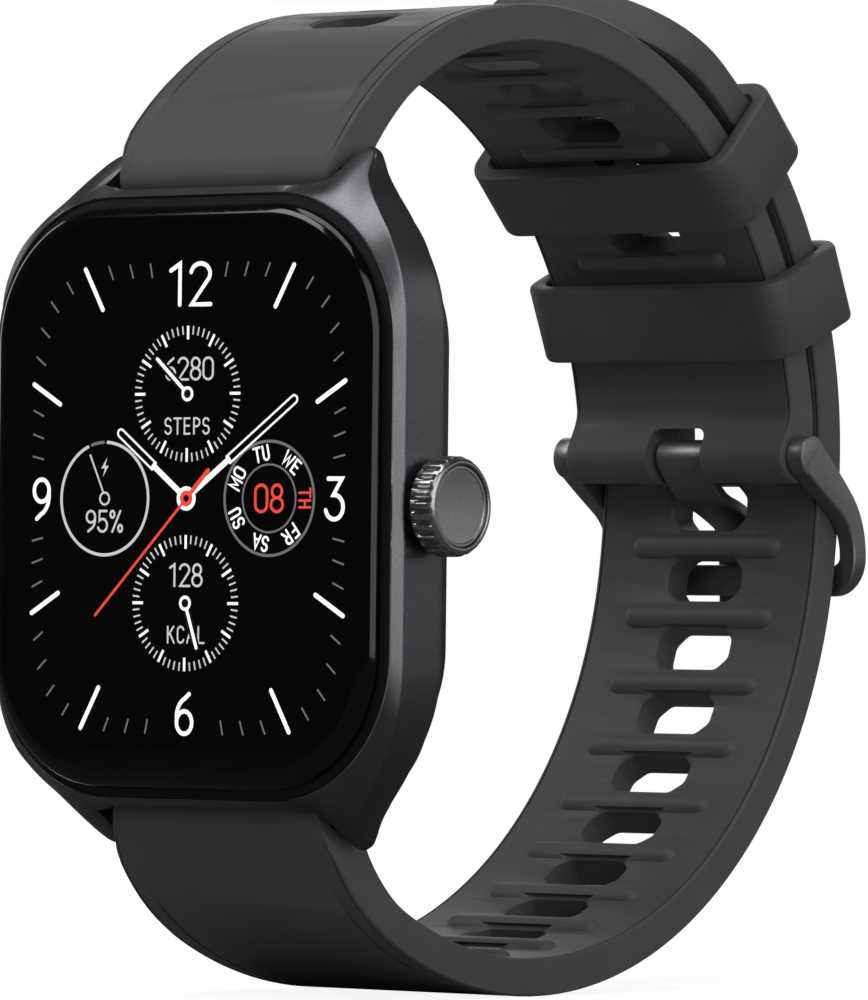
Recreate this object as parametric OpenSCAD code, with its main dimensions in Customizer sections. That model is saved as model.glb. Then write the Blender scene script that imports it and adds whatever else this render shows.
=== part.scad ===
// Smartwatch with a closed two-piece band.
// Origin: centre of the back's outer face. +X to 3 o'clock, +Y out of the back, +Z to 12 o'clock.

/* [Case] */
// Width of the case across its sides
case_w = 36.8; // [36.4:0.1:37.2]
// Height of the case body between the lugs
case_h = 42.7; // [42.4:0.1:43]
// Whole thickness, from the back's face to the top of the glass
case_t = 9.9; // [9.7:0.1:10.1]
// Corner radius of the case body
case_r = 10.9; // [10.5:0.1:11.2]
// Width of the bevel between the rim and the side
bevel = 0.75; // [0.6:0.05:0.9]
// Gap between the glass and the rim
glass_gap = 0.55; // [0.4:0.05:0.7]
// Height of the glass above the rim
glass_rise = 1.3; // [1.1:0.1:1.4]
// Clear distance between the inner faces of a lug pair
lug_gap = 20.4; // [20.3:0.05:20.6]

/* [Band] */
// Width of the band
band_w = 20; // [19.6:0.1:20]
// Thickness of the band away from its roots
band_t = 2.7; // [2.5:0.1:2.8]
// Distance between neighbouring holes along the band
hole_pitch = 5.5; // [5.4:0.05:5.6]
// Length of a hole across the band
hole_l = 6; // [5:0.1:7]
// Width of a hole along the band
hole_w = 3; // [2.6:0.1:3.2]
// Length of a rib across the band
rib_l = 12.8; // [11:0.1:14]
// Height of a rib above the inner face
rib_h = 0.45; // [0.3:0.05:0.5]
// Width of a keeper along the band
keeper_w = 5.8; // [5:0.1:6]
// Wall of a keeper
keeper_t = 1.3; // [1.1:0.1:1.4]

/* [Crown] */
// Outer radius of the crown's knob
crown_r = 3.43; // [3.2:0.01:3.5]
// Number of flutes round the knob
flutes = 26; // [20:1:32]
// Travel of the crown when it is pressed
crown_travel = 0.3; // [0.2:0.05:0.3]

/* [Hidden] */
$fn = 64;
hull_fn = 48;
// Small overlap that makes a cut run clean through a face
eps = 0.5;

// Case stations along Y, front to back
glass_y = -case_t;
rim_y = glass_y + glass_rise;
bevel_y = rim_y + 1.2;
side_back_y = -3.4;
frame_back_y = -2.4;
cover_y = -2.2;
cover_back_y = -0.3;
glass_back_y = glass_y + 1.2;
ledge_y = -8.4;
half_w = case_w / 2;
half_h = case_h / 2;
wall = 2;
back_taper = 1.2;
board_back_y = -3.6;
sensor_r = 9;
screw_r = 0.6;
boss_out_r = 1.3;

// Spring bars
bar_y = -3.9;
bar_z = 22;
tip_r = 0.42;
tube_r = 0.75;
tube_bore_r = 0.55;
tube_half = 8.6;
tip_end = 11.2;
root_r = 1.9;
root_gap = 0.35;
// Extra half thickness of the band at a root, and the length over which it fades
root_extra = 0.42;
root_fade = 9;

// Crown
crown_y = -5;
crown_z = -0.6;
knob_x = 18.95;
knob_t = 2.15;
stem_r = 1;
stem_in_x = 15;
pivot_r = 0.6;
pusher_x = 13.45;
tube_out_r = 1.62;

// Band paths in the YZ plane. A path is [start, heading, arcs]; an arc is [radius, turn].
upper_path = [[bar_y, bar_z], 77, [[7, -26], [24, -36.5], [31.4, -90]]];
lower_path = [[bar_y, -bar_z], -70, [[14.2, 44], [34.1, 108], [61.6, 8], [31.6, 49], [60, 30]]];
upper_len = 74.2;
lower_len = 125.5;
step = 1.5;
// Where the buckle sits, measured along the upper path
buckle_d = upper_len;
fixed_keeper_d = 63;
free_keeper_d = 51.3;
// First and last holes of the two ladders
upper_first_d = 17.4;
upper_holes = 8;
lower_first_d = 30;
lower_holes = 16;
tip_round = band_w / 2;

// Buckle
pin_r = 0.75;
pin_clear = 0.05;
barrel_r = 2;
boss_r = 1.35;
// Distance from the band's middle line in to the buckle bar's axis
bar_in = 1;
arm_in = 10.35;
arm_t = 1.2;
notch_w = 5;
tongue_w = 4.2;

function arc_len(a) = a[0] * abs(a[1]) * PI / 180;
function left(h) = [-sin(h), cos(h)];
// Point and heading after a part f of one arc that starts at p with heading h
function along(p, h, a, f) =
    let (k = sign(a[1]), centre = p + a[0] * k * left(h), end = h + a[1] * f)
    [centre - a[0] * k * left(end), end];
// Point and heading at a distance d along a chain of arcs
function place(p, h, arcs, d, i = 0) =
    let (len_i = arc_len(arcs[i]))
    d <= len_i || i == len(arcs) - 1 ? along(p, h, arcs[i], d / len_i)
    : let (q = along(p, h, arcs[i], 1)) place(q[0], q[1], arcs, d - len_i, i + 1);
function at(path, d) = place(path[0], path[1], path[2], d);
// Points on one side of a path, off by the band's half thickness at each place
function edge(path, d0, d1, side, extra) =
    let (n = ceil((d1 - d0) / step))
    [for (i = [0 : n])
        let (d = d0 + (d1 - d0) * i / n, q = at(path, d))
        q[0] + side * (band_t / 2 + extra * max(0, 1 - d / root_fade)) * left(q[1])];
function reversed(list) = [for (i = [len(list) - 1 : -1 : 0]) list[i]];

// Extrudes a YZ outline along X, centred on X = 0
module across(width) {
    rotate([90, 0, 90]) linear_extrude(width, center = true) children();
}
// Extrudes an XZ outline along Y from y0 to y1
module plate(y0, y1) {
    translate([0, y1, 0]) rotate([90, 0, 0]) linear_extrude(y1 - y0) children();
}
// A round bar along X from x0 to x1 at (y, z)
module rod(x0, x1, y, z, r) {
    translate([x0, y, z]) rotate([0, 90, 0]) cylinder(r = r, h = x1 - x0);
}
// A round post along Y from y0 to y1 at (x, z)
module post(x, z, y0, y1, r) {
    translate([x, y1, z]) rotate([90, 0, 0]) cylinder(r = r, h = y1 - y0);
}
// A rounded rectangular block along Y, exact
module block(w, h, r, y0, y1) {
    d = y1 - y0;
    translate([-w / 2 + r, y0, -h / 2]) cube([w - 2 * r, d, h]);
    translate([-w / 2, y0, -h / 2 + r]) cube([w, d, h - 2 * r]);
    for (sx = [-1, 1], sz = [-1, 1])
        post(sx * (w / 2 - r), sz * (h / 2 - r), y0, y1, r);
}
// A rounded block whose front and back shrink, drawn as one convex skin
module tapered(w, h, r, stations) {
    hull() {
        for (s = stations, sx = [-1, 1], sz = [-1, 1])
            translate([sx * (w / 2 - r), s[0], sz * (h / 2 - r)])
                rotate([90, 0, 0]) cylinder(r = r - s[1], h = 0.01, $fn = hull_fn);
    }
}
// Puts children at a distance along a path, with their Y along the band and Z outwards
module on_band(path, d, flip) {
    q = at(path, d);
    translate([0, q[0][0], q[0][1]]) rotate([q[1], 0, 0]) scale([1, 1, flip]) children();
}

// Case -----------------------------------------------------------------------------------

// Outline of one lug from the front, upper right corner
function lug_outline() =
    let (
        corner = [[9.5, 48], [6, -38], [0.7, 80]],
        total = arc_len(corner[0]) + arc_len(corner[1]) + arc_len(corner[2]),
        n = 30
    )
    concat(
        [[8, 10], [half_w, 10]],
        [for (i = [0 : n]) place([half_w, 12], 90, corner, total * i / n)[0]],
        [[8, 23.9]]
    );
// Outline of a lug from the side: front sweep, round tip, straight back
function lug_side() =
    let (
        sweep = [[9.8, -57], [0.5, -120]],
        total = arc_len(sweep[0]) + arc_len(sweep[1]),
        n = 24
    )
    concat(
        [[side_back_y, 8], [bevel_y, 8]],
        [for (i = [0 : n]) place([bevel_y, 15.7], 90, sweep, total * i / n)[0]],
        [[-2.95, 18], [side_back_y, 14]]
    );
module lug() {
    intersection() {
        plate(-case_t, 0) polygon(lug_outline());
        across(3 * case_w) polygon(lug_side());
    }
}
module case_frame() {
    color("#33353a")
    difference() {
        union() {
            tapered(case_w, case_h, case_r, [
                [rim_y, bevel], [bevel_y, 0], [side_back_y, 0], [frame_back_y, back_taper]
            ]);
            for (sx = [0, 1], sz = [0, 1]) mirror([sx, 0, 0]) mirror([0, 0, sz]) lug();
        }
        // Seat of the glass, and the cavity behind it
        block(case_w - 2 * bevel, case_h - 2 * bevel - 0.5, case_r - bevel, rim_y - 2, ledge_y);
        block(31.4, 37, 8.5, ledge_y - eps, side_back_y);
        block(case_w - 2 * wall, 36.4, 8, ledge_y + 1.2, eps);
        for (s = [-1, 1]) {
            // Round recess for the band's root, open at the back
            rod(-lug_gap / 2, lug_gap / 2, bar_y, s * bar_z, root_r + root_gap);
            translate([-lug_gap / 2, bar_y, s > 0 ? bar_z - root_r - root_gap : -30])
                cube([lug_gap, 10, 30 - bar_z + root_r + root_gap]);
            translate([-lug_gap / 2, -20, s > 0 ? half_h : -half_h - 10])
                cube([lug_gap, 30, 10]);
        }
        // Blind holes for the upper bar, and open slots for the lower one
        rod(-tip_end - 0.3, tip_end + 0.3, bar_y, bar_z, tip_r + 0.05);
        rod(-tip_end - 0.3, tip_end + 0.3, bar_y, -bar_z, tip_r + 0.1);
        translate([-tip_end - 0.3, bar_y, -bar_z - tip_r - 0.1])
            cube([2 * tip_end + 0.6, 6, 2 * tip_r + 0.2]);
        rod(half_w - 5, half_w + 5, crown_y, crown_z, tube_out_r + 0.03);
    }
}
module cover_glass() {
    color("#050506")
    tapered(
        case_w - 2 * (bevel + glass_gap), case_h - 2 * (bevel + glass_gap) - 0.5,
        case_r - bevel - glass_gap,
        [[glass_y + 0.01, 1.3], [glass_y + 0.35, 0.3], [glass_back_y, 0]]
    );
}
module glass_gasket() {
    color("#151515")
    difference() {
        block(33.6, 39.4, 9.4, glass_back_y, ledge_y);
        block(31.8, 37.4, 8.6, glass_back_y - eps, ledge_y + eps);
    }
}
module display_panel() {
    color("#0a0a0c") block(31, 36.6, 8, glass_back_y, -7.8);
}
module display_flex() {
    color("#b87d2b") {
        translate([-4, -7.75, -17.6]) cube([8, 0.15, 3]);
        translate([-4, -7.75, -17.6]) cube([8, 4.3, 0.15]);
        translate([-4, board_back_y, -17.6]) cube([8, 0.15, 4.4]);
    }
}
module inner_chassis() {
    color("#3c3c40")
    difference() {
        union() {
            block(31, 35.4, 7.5, -7.55, -7);
            at_screws() post(0, 0, -7.1, cover_y - 0.05, boss_out_r);
        }
        translate([-5, -8, -18.5]) cube([10, 2, 4.2]);
        translate([11.2, -8, -4]) cube([8, 2, 7]);
        at_screws() post(0, 0, -3.7, 0, screw_r + 0.02);
    }
}
module battery() {
    color("#8d9094") {
        translate([-15, -6.9, -10.5]) cube([23.5, 2.6, 22.5]);
        translate([-5, -6.4, 12]) cube([8, 1.6, 1.6]);
    }
}
module main_board() {
    color("#1f5a3a")
    difference() {
        block(31, 34.4, 7, board_back_y - 0.6, board_back_y);
        translate([-6, -5, -19]) cube([12, 3, 3.4]);
        translate([13, -5, -3.2]) cube([4, 3, 5.2]);
        at_screws() post(0, 0, -5, -3, boss_out_r + 0.1);
    }
}
module shield_can() {
    color("#b9bcc0") {
        translate([-11, board_back_y, 2]) cube([15, 0.75, 10]);
        translate([6, board_back_y, 4]) cube([6, 0.75, 8]);
    }
}
module vibration_motor() {
    color("#a9acb0") {
        post(12.2, -9, -6.9, -4.4, 3.2);
        translate([11.3, -6.4, -6]) cube([1.8, 1, 1.4]);
    }
}
module speaker() {
    color("#26282b") {
        translate([-9.5, -6.9, -15.6]) cube([8, 2.5, 4.6]);
        post(-5.5, -13.3, -6.98, -6.8, 1.8);
    }
}
module antenna() {
    color("#c08a3a") {
        translate([-9, -6.9, 17.7]) cube([18, 2.6, 0.25]);
        translate([-9, -6.9, 16.4]) cube([3, 0.25, 1.4]);
    }
}
module back_cover() {
    color("#17181a")
    difference() {
        tapered(33.4, 38.6, 9, [[cover_y + 0.01, 0], [cover_back_y - 0.8, 0.1], [cover_back_y, 1.2]]);
        post(0, 0, cover_y - 1, eps, sensor_r + 0.05);
        for (s = [-1, 1]) post(s * 3, -13.2, cover_y - 1, eps, 1.05);
        at_screws() {
            post(0, 0, cover_y - 1, eps, screw_r + 0.15);
            post(0, 0, -1, eps, 1.35);
        }
    }
}
module back_seal() {
    color("#101010")
    difference() {
        block(33.2, 38.2, 9, frame_back_y, cover_y);
        block(31.4, 36.4, 8.2, frame_back_y - eps, cover_y + eps);
    }
}
module sensor_window() {
    color("#0b0c10") post(0, 0, cover_y, 0, sensor_r);
}
module sensor_board() {
    color("#20603f") {
        post(0, 0, -2.75, -2.25, 7.5);
        for (a = [0 : 90 : 270]) rotate([0, a, 0]) translate([2.6, -2.3, -0.8]) cube([1.6, 0.1, 1.6]);
    }
}
module charging_contacts() {
    color("#c9a96a")
    for (s = [-1, 1]) {
        post(s * 3, -13.2, -0.9, -0.25, 1);
        post(s * 3, -13.2, -3.3, -0.8, 0.5);
    }
}
module back_screws() {
    color("#8a8c90")
    at_screws()
        difference() {
            union() {
                post(0, 0, -0.95, -0.45, 1.25);
                post(0, 0, -3.4, -0.9, screw_r);
            }
            translate([-0.15, -0.65, -0.8]) cube([0.3, 0.5, 1.6]);
            translate([-0.8, -0.65, -0.15]) cube([1.6, 0.5, 0.3]);
        }
}
// Puts children at the four screws that hold the back cover
module at_screws() {
    for (sx = [-1, 1], sz = [-1, 1]) translate([sx * 11.2, 0, sz * 13.6]) children();
}

// Crown ----------------------------------------------------------------------------------

module crown_tube() {
    color("#8f9296")
    difference() {
        union() {
            rod(15.9, 18.75, crown_y, crown_z, tube_out_r);
            rod(15.9, 16.3, crown_y, crown_z, 1.95);
        }
        rod(15, 20, crown_y, crown_z, stem_r + 0.06);
    }
}
module crown_switch() {
    color("#2b2d30") {
        translate([11.4, crown_y - 1.7, crown_z - 1.8]) cube([1.3, 2.4, 3.6]);
        rod(12.65, pusher_x - crown_travel - 0.1, crown_y - 0.3, crown_z, 0.8);
    }
}
module crown_pusher() {
    color("#a5a8ac")
    difference() {
        translate([pusher_x, crown_y - 1.7, crown_z - 1.7]) cube([0.9, 2.4, 3.4]);
        rod(pusher_x + 0.4, 15, crown_y, crown_z, pivot_r + 0.05);
    }
}
module crown_stem() {
    color("#b8bbbf")
    difference() {
        union() {
            rod(stem_in_x, knob_x + 1.2, crown_y, crown_z, stem_r);
            rod(pusher_x + 0.45, stem_in_x + 0.2, crown_y, crown_z, pivot_r);
        }
        difference() {
            rod(17.2, 17.7, crown_y, crown_z, stem_r + 0.2);
            rod(17, 18, crown_y, crown_z, stem_r - 0.3);
        }
    }
}
module crown_seal() {
    color("#1a1a1a")
    translate([17.45, crown_y, crown_z]) rotate([0, 90, 0])
        rotate_extrude() translate([stem_r - 0.12, 0]) circle(r = 0.17);
}
module crown_retainer() {
    color("#6d7074")
    difference() {
        rod(15.1, 15.4, crown_y, crown_z, 1.7);
        rod(15, 16, crown_y, crown_z, stem_r + 0.01);
    }
}
module crown_knob() {
    color("#2f3236")
    difference() {
        translate([0, crown_y, crown_z]) rotate([0, 90, 0]) rotate_extrude()
            polygon([
                [0, knob_x], [crown_r - 0.4, knob_x], [crown_r, knob_x + 0.35],
                [crown_r, knob_x + knob_t - 0.4], [crown_r - 0.4, knob_x + knob_t],
                [0, knob_x + knob_t]
            ]);
        for (i = [0 : flutes - 1])
            rotate_about_crown(i * 360 / flutes) rod(knob_x - 1, knob_x + 5, 0, crown_r + 0.1, 0.25);
        rod(knob_x - 1, knob_x + 1.2, crown_y, crown_z, stem_r + 0.01);
        rod(knob_x - 1, knob_x + 0.35, crown_y, crown_z, tube_out_r + 0.4);
        rod(knob_x + knob_t - 0.45, knob_x + 5, crown_y, crown_z, 2.83);
    }
}
module rotate_about_crown(a) {
    translate([0, crown_y, crown_z]) rotate([a, 0, 0]) children();
}
module crown_cap() {
    color("#3a3d42") {
        rod(knob_x + knob_t - 0.45, knob_x + knob_t - 0.18, crown_y, crown_z, 2.8);
        translate([knob_x + knob_t - 0.18, crown_y, crown_z]) rotate([0, 90, 0])
            cylinder(r1 = 2.8, r2 = 2.55, h = 0.1);
    }
}

// Band -----------------------------------------------------------------------------------

// The plain band from d0 to d1 along a path
module band(path, d0, d1, extra) {
    across(band_w)
        polygon(concat(edge(path, d0, d1, 1, extra), reversed(edge(path, d0, d1, -1, extra))));
}
// A through hole with cut corners, its long side across the band
module hole_cut() {
    c = 0.8;
    l = hole_l / 2;
    w = hole_w / 2;
    translate([0, 0, -4]) linear_extrude(8)
        polygon([
            [l - c, -w], [l, c - w], [l, w - c], [l - c, w],
            [c - l, w], [-l, w - c], [-l, c - w], [c - l, -w]
        ]);
}
// A rib with rounded ends on the inner face
module rib() {
    r = 1.1;
    translate([0, 0, -band_t / 2 + r - rib_h]) {
        rod(r - rib_l / 2, rib_l / 2 - r, 0, 0, r);
        for (s = [-1, 1]) translate([s * (rib_l / 2 - r), 0, 0]) sphere(r = r);
    }
}
module upper_strap() {
    color("#3f4042")
    difference() {
        union() {
            band(upper_path, 0, buckle_d - pin_r - 0.2, root_extra);
            rod(-band_w / 2, band_w / 2, bar_y, bar_z, root_r);
            buckle_barrel();
            for (i = [0 : upper_holes])
                on_band(upper_path, upper_first_d + (i - 0.5) * hole_pitch, 1) rib();
        }
        for (i = [0 : upper_holes - 1])
            on_band(upper_path, upper_first_d + i * hole_pitch, 1) hole_cut();
        rod(-band_w, band_w, bar_y, bar_z, tube_r + 0.04);
        lever_window(1);
        at_buckle() {
            rod(-band_w, band_w, 0, 0, pin_r + 0.02);
            translate([-notch_w / 2, -2.3, -3]) cube([notch_w, 6, 6]);
        }
    }
}
module buckle_barrel() {
    at_buckle() rod(-band_w / 2, band_w / 2, 0, 0, barrel_r);
}
// Frame at the buckle's bar: Y runs on along the band, Z points out of the loop
module at_buckle() {
    on_band(upper_path, buckle_d, 1) translate([0, 0, -bar_in]) children();
}
// Window for the quick-release lever, on the inner side of a root
module lever_window(s) {
    translate([3.4, bar_y, s * bar_z - 0.5]) cube([3.6, 6, 1]);
}
module lower_strap() {
    color("#3f4042")
    difference() {
        union() {
            band(lower_path, 0, lower_len - tip_round, root_extra);
            rod(-band_w / 2, band_w / 2, bar_y, -bar_z, root_r);
            intersection() {
                band(lower_path, lower_len - tip_round - 1, lower_len + 1, 0);
                on_band(lower_path, lower_len - tip_round, 1)
                    translate([0, 0, -6]) cylinder(r = tip_round, h = 12);
            }
            for (i = [0 : lower_holes])
                on_band(lower_path, lower_first_d + (i - 0.5) * hole_pitch, -1) rib();
        }
        for (i = [0 : lower_holes - 1])
            on_band(lower_path, lower_first_d + i * hole_pitch, 1) hole_cut();
        rod(-band_w, band_w, bar_y, -bar_z, tube_r + 0.04);
        lever_window(-1);
    }
}
// A loop round both layers of the band
module keeper(d) {
    low = -band_t / 2 - 0.75;
    high = band_t * 1.5 + 1.25;
    w = band_w / 2 + 0.5;
    on_band(upper_path, d, 1)
    translate([0, keeper_w / 2, 0]) rotate([90, 0, 0])
        difference() {
            rounded_bar(w + keeper_t, low - keeper_t, high + keeper_t, 2.4, 0, keeper_w);
            rounded_bar(w, low, high, 1.1, -1, keeper_w + 1);
        }
}
// A bar with rounded long edges, along Z from z0 to z1, from y0 to y1 and x within +-half
module rounded_bar(half, y0, y1, r, z0, z1) {
    translate([r - half, y0, z0]) cube([2 * (half - r), y1 - y0, z1 - z0]);
    translate([-half, y0 + r, z0]) cube([2 * half, y1 - y0 - 2 * r, z1 - z0]);
    for (sx = [-1, 1], y = [y0 + r, y1 - r])
        translate([sx * (half - r), y, z0]) cylinder(r = r, h = z1 - z0);
}
module fixed_keeper() {
    color("#333436") keeper(fixed_keeper_d);
}
module free_keeper() {
    color("#333436") keeper(free_keeper_d);
}
module buckle_bar() {
    color("#55585c") at_buckle() rod(-arm_in - arm_t, arm_in + arm_t, 0, 0, pin_r);
}

// Buckle: the side of an arm and of the tongue are drawn in the YZ plane from the bar's axis
bar_at = at(upper_path, buckle_d)[0] - bar_in * left(at(upper_path, buckle_d)[1]);
// Centre line of an arm, from the bar down to the outer cross bar
arm_path = [bar_at, -38, [[200, -1.5], [5.2, -50], [200, -1.5]]];
arm_len = arc_len(arm_path[2][0]) + arc_len(arm_path[2][1]) + 1.8;
arm_half = 0.65;
cross_h = 2.3;
// A strip along a path whose half width runs evenly from half0 to half1
module side_strip(path, len, half0, half1) {
    n = 28;
    rows = [for (i = [0 : n])
        let (q = at(path, len * i / n), half = half0 + (half1 - half0) * i / n)
        [q[0] + half * left(q[1]), q[0] - half * left(q[1])]];
    polygon(concat([for (r = rows) r[0]], reversed([for (r = rows) r[1]])));
}
module buckle_frame() {
    end = at(arm_path, arm_len)[0];
    color("#4a4d52")
    difference() {
        union() {
            for (s = [-1, 1]) {
                translate([s * (arm_in + arm_t / 2), 0, 0])
                    across(arm_t) side_strip(arm_path, arm_len, boss_r - 0.1, arm_half);
                rod(s > 0 ? arm_in : -arm_in - arm_t, s > 0 ? arm_in + arm_t : -arm_in,
                    bar_at[0], bar_at[1], boss_r);
            }
            // Outer cross bar, with round ends on its lower corners
            translate([-arm_in - arm_t, end[0] - arm_half, end[1] - cross_h / 2])
                rounded_rail(2 * (arm_in + arm_t), 2 * arm_half, cross_h, 1.1);
        }
        rod(-20, 20, bar_at[0], bar_at[1], pin_r + pin_clear);
    }
}
// A rail along X, len by depth by height, whose two lower corners are rounded
module rounded_rail(len, depth, height, r) {
    translate([r, 0, 0]) cube([len - 2 * r, depth, height]);
    translate([0, 0, r]) cube([len, depth, height - r]);
    for (x = [r, len - r]) translate([x, depth, r]) rotate([90, 0, 0]) cylinder(r = r, h = depth);
}
// Centre line of the tongue, from the bar through the tail's hole and over the cross bar
tongue_path = [bar_at, -52, [[200, -0.86], [2.5, 27.9], [200, -1], [2, -61], [200, -1]]];
tongue_len = arc_len(tongue_path[2][0]) + arc_len(tongue_path[2][1])
    + arc_len(tongue_path[2][2]) + arc_len(tongue_path[2][3]) + 2.8;
tongue_half = 0.45;
module buckle_tongue() {
    color("#55585c")
    difference() {
        union() {
            across(tongue_w) side_strip(tongue_path, tongue_len, tongue_half, tongue_half);
            rod(-tongue_w / 2, tongue_w / 2, bar_at[0], bar_at[1], boss_r - 0.05);
        }
        rod(-20, 20, bar_at[0], bar_at[1], pin_r + pin_clear);
    }
}

// Spring bars ----------------------------------------------------------------------------

// Hollow bar with one fixed tip; s is 1 at 12 o'clock and -1 at 6 o'clock
module bar_tube(s) {
    color("#b4b7ba")
    difference() {
        union() {
            rod(-tube_half, tube_half, bar_y, s * bar_z, tube_r);
            rod(-tip_end, -tube_half + 0.1, bar_y, s * bar_z, tip_r);
        }
        rod(-tube_half + 1.2, tube_half + 1, bar_y, s * bar_z, tube_bore_r);
        translate([3.4, bar_y, s * bar_z - 0.32]) cube([3.6, 3, 0.64]);
    }
}
module bar_plunger(s) {
    color("#c6c8ca") {
        rod(4, tube_half + 0.2, bar_y, s * bar_z, tube_bore_r - 0.05);
        rod(tube_half, tip_end, bar_y, s * bar_z, tip_r);
        translate([5.5, bar_y, s * bar_z - 0.22]) cube([0.8, 3.2, 0.44]);
        translate([5.4, bar_y + 2.5, s * bar_z - 0.4]) cube([1, 1, 0.8]);
    }
}
// Coil spring inside the tube, between its closed end and the plunger
spring_r = 0.36;
wire_r = 0.1;
spring_x0 = -tube_half + 1.4;
spring_x1 = 3.85;
spring_turns = 7;
module bar_spring(s) {
    sides = 6;
    rings = spring_turns * 9;
    points = [
        for (i = [0 : rings], j = [0 : sides - 1])
            let (
                turn = 360 * i * spring_turns / rings,
                a = 360 * j / sides,
                r = spring_r + wire_r * cos(a),
                x = spring_x0 + wire_r + (spring_x1 - spring_x0 - 2 * wire_r) * i / rings
            )
            [x + wire_r * sin(a), bar_y + r * cos(turn), s * bar_z + r * sin(turn)]
    ];
    walls = [
        for (i = [0 : rings - 1], j = [0 : sides - 1], half = [0, 1])
            let (k = (j + 1) % sides, a = i * sides, b = a + sides)
            half == 0 ? [a + j, b + k, b + j] : [a + j, a + k, b + k]
    ];
    first = [for (j = [1 : sides - 2]) [0, j + 1, j]];
    last = [for (j = [1 : sides - 2]) [rings * sides, rings * sides + j, rings * sides + j + 1]];
    color("#9a9da0") polyhedron(points, concat(walls, first, last));
}
module upper_bar_tube() { bar_tube(1); }
module upper_bar_plunger() { bar_plunger(1); }
module upper_bar_spring() { bar_spring(1); }
module lower_bar_tube() { bar_tube(-1); }
module lower_bar_plunger() { bar_plunger(-1); }
module lower_bar_spring() { bar_spring(-1); }

case_frame();
cover_glass();
glass_gasket();
display_panel();
display_flex();
inner_chassis();
battery();
main_board();
shield_can();
vibration_motor();
speaker();
antenna();
back_cover();
back_seal();
sensor_window();
sensor_board();
charging_contacts();
back_screws();
crown_tube();
crown_switch();
crown_pusher();
crown_stem();
crown_seal();
crown_retainer();
crown_knob();
crown_cap();
upper_strap();
lower_strap();
fixed_keeper();
free_keeper();
buckle_bar();
buckle_frame();
buckle_tongue();
upper_bar_tube();
upper_bar_plunger();
upper_bar_spring();
lower_bar_tube();
lower_bar_plunger();
lower_bar_spring();
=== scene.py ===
"""Looks of a smartwatch with a buckled silicone band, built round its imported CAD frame.

Lengths are in millimetres until a mesh is made. +X points to 3 o'clock and the crown, +Y out of the
back towards the wrist, and +Z to 12 o'clock. Angles are in degrees.
"""

import math

import bmesh
import bpy
from mathutils import Matrix, Vector


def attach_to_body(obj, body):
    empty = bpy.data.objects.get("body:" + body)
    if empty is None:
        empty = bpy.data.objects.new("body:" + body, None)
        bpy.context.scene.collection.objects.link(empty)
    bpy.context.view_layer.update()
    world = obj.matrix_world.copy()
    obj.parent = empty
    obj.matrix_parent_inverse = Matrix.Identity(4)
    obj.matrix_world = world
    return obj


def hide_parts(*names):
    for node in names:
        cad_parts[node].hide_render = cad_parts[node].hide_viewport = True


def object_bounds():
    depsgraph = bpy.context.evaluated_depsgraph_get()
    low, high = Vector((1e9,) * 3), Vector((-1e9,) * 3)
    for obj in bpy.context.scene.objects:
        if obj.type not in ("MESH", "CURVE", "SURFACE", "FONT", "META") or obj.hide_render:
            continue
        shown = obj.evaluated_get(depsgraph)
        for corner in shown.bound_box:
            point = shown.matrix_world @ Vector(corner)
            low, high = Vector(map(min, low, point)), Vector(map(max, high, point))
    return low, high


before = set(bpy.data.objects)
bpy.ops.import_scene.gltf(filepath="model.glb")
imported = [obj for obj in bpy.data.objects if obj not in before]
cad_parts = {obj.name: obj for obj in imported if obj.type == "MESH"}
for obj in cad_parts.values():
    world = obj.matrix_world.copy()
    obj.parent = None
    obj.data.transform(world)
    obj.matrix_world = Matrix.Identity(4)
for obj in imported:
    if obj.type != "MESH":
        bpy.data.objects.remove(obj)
CAD_LOW, CAD_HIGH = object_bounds()
MM = 0.001

# ---- dimensions, as in the CAD source

CASE_W, CASE_H = 36.8, 42.7
GLASS_Y, RIM_Y, GLASS_BACK_Y, LEDGE_Y, FRAME_BACK_Y = -9.9, -8.6, -8.7, -8.4, -2.4
BAR_Y, BAR_Z = -3.9, 22.0
LUG_GAP, PLUNGER_HOLE_R, PLUNGER_SLOT_R = 20.4, 0.47, 0.52
CROWN_Y, CROWN_Z, CROWN_R, KNOB_X, KNOB_T, FLUTES = -5.0, -0.6, 3.43, 18.95, 2.15, 26
BAND_W, BAND_T = 20.0, 2.7
HOLE_PITCH, HOLE_L, HOLE_W = 5.5, 6.7, 3.45
RIB_L, RIB_R, RIB_H, RIB_SHIFT = 13.9, 1.08, 0.56, 0.25
ROOT_R, ROOT_EXTRA, ROOT_FADE = 1.9, 0.42, 9.0
UPPER_LEN, UPPER_FIRST, UPPER_HOLES = 74.2, 17.4, 8
LOWER_LEN, LOWER_FIRST, LOWER_HOLES = 125.5, 30.0, 16
FIXED_KEEPER_D, FREE_KEEPER_D, KEEPER_W, KEEPER_T = 63.0, 51.3, 5.8, 1.3
BARREL_R, BAR_IN, PIN_R, NOTCH_W, TONGUE_W = 2.0, 1.0, 0.75, 5.0, 4.2
ARM_IN, ARM_T = 10.35, 1.2


# ---- small geometry helpers


def unit(angle):
    """Direction at an angle in degrees."""
    a = math.radians(angle)
    return Vector((math.cos(a), math.sin(a)))


def left(heading):
    """Direction to the left of a heading."""
    return unit(heading + 90)


def lerp(a, b, t):
    return a + (b - a) * t


def smooth(t):
    """0 to 1 with flat ends."""
    t = min(1.0, max(0.0, t))
    return t * t * (3 - 2 * t)


def clamp(x, low, high):
    return min(high, max(low, x))


def spline(rows, per_span):
    """Catmull-Rom curve through rows of equal length, per_span points for each gap."""
    out = []
    last = len(rows) - 1
    for i in range(last):
        before, here, after, later = (rows[clamp(i + k, 0, last)] for k in (-1, 0, 1, 2))
        for j in range(per_span):
            t = j / per_span
            out.append(tuple(bend(t, *v) for v in zip(before, here, after, later)))
    out.append(tuple(rows[last]))
    return out


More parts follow.
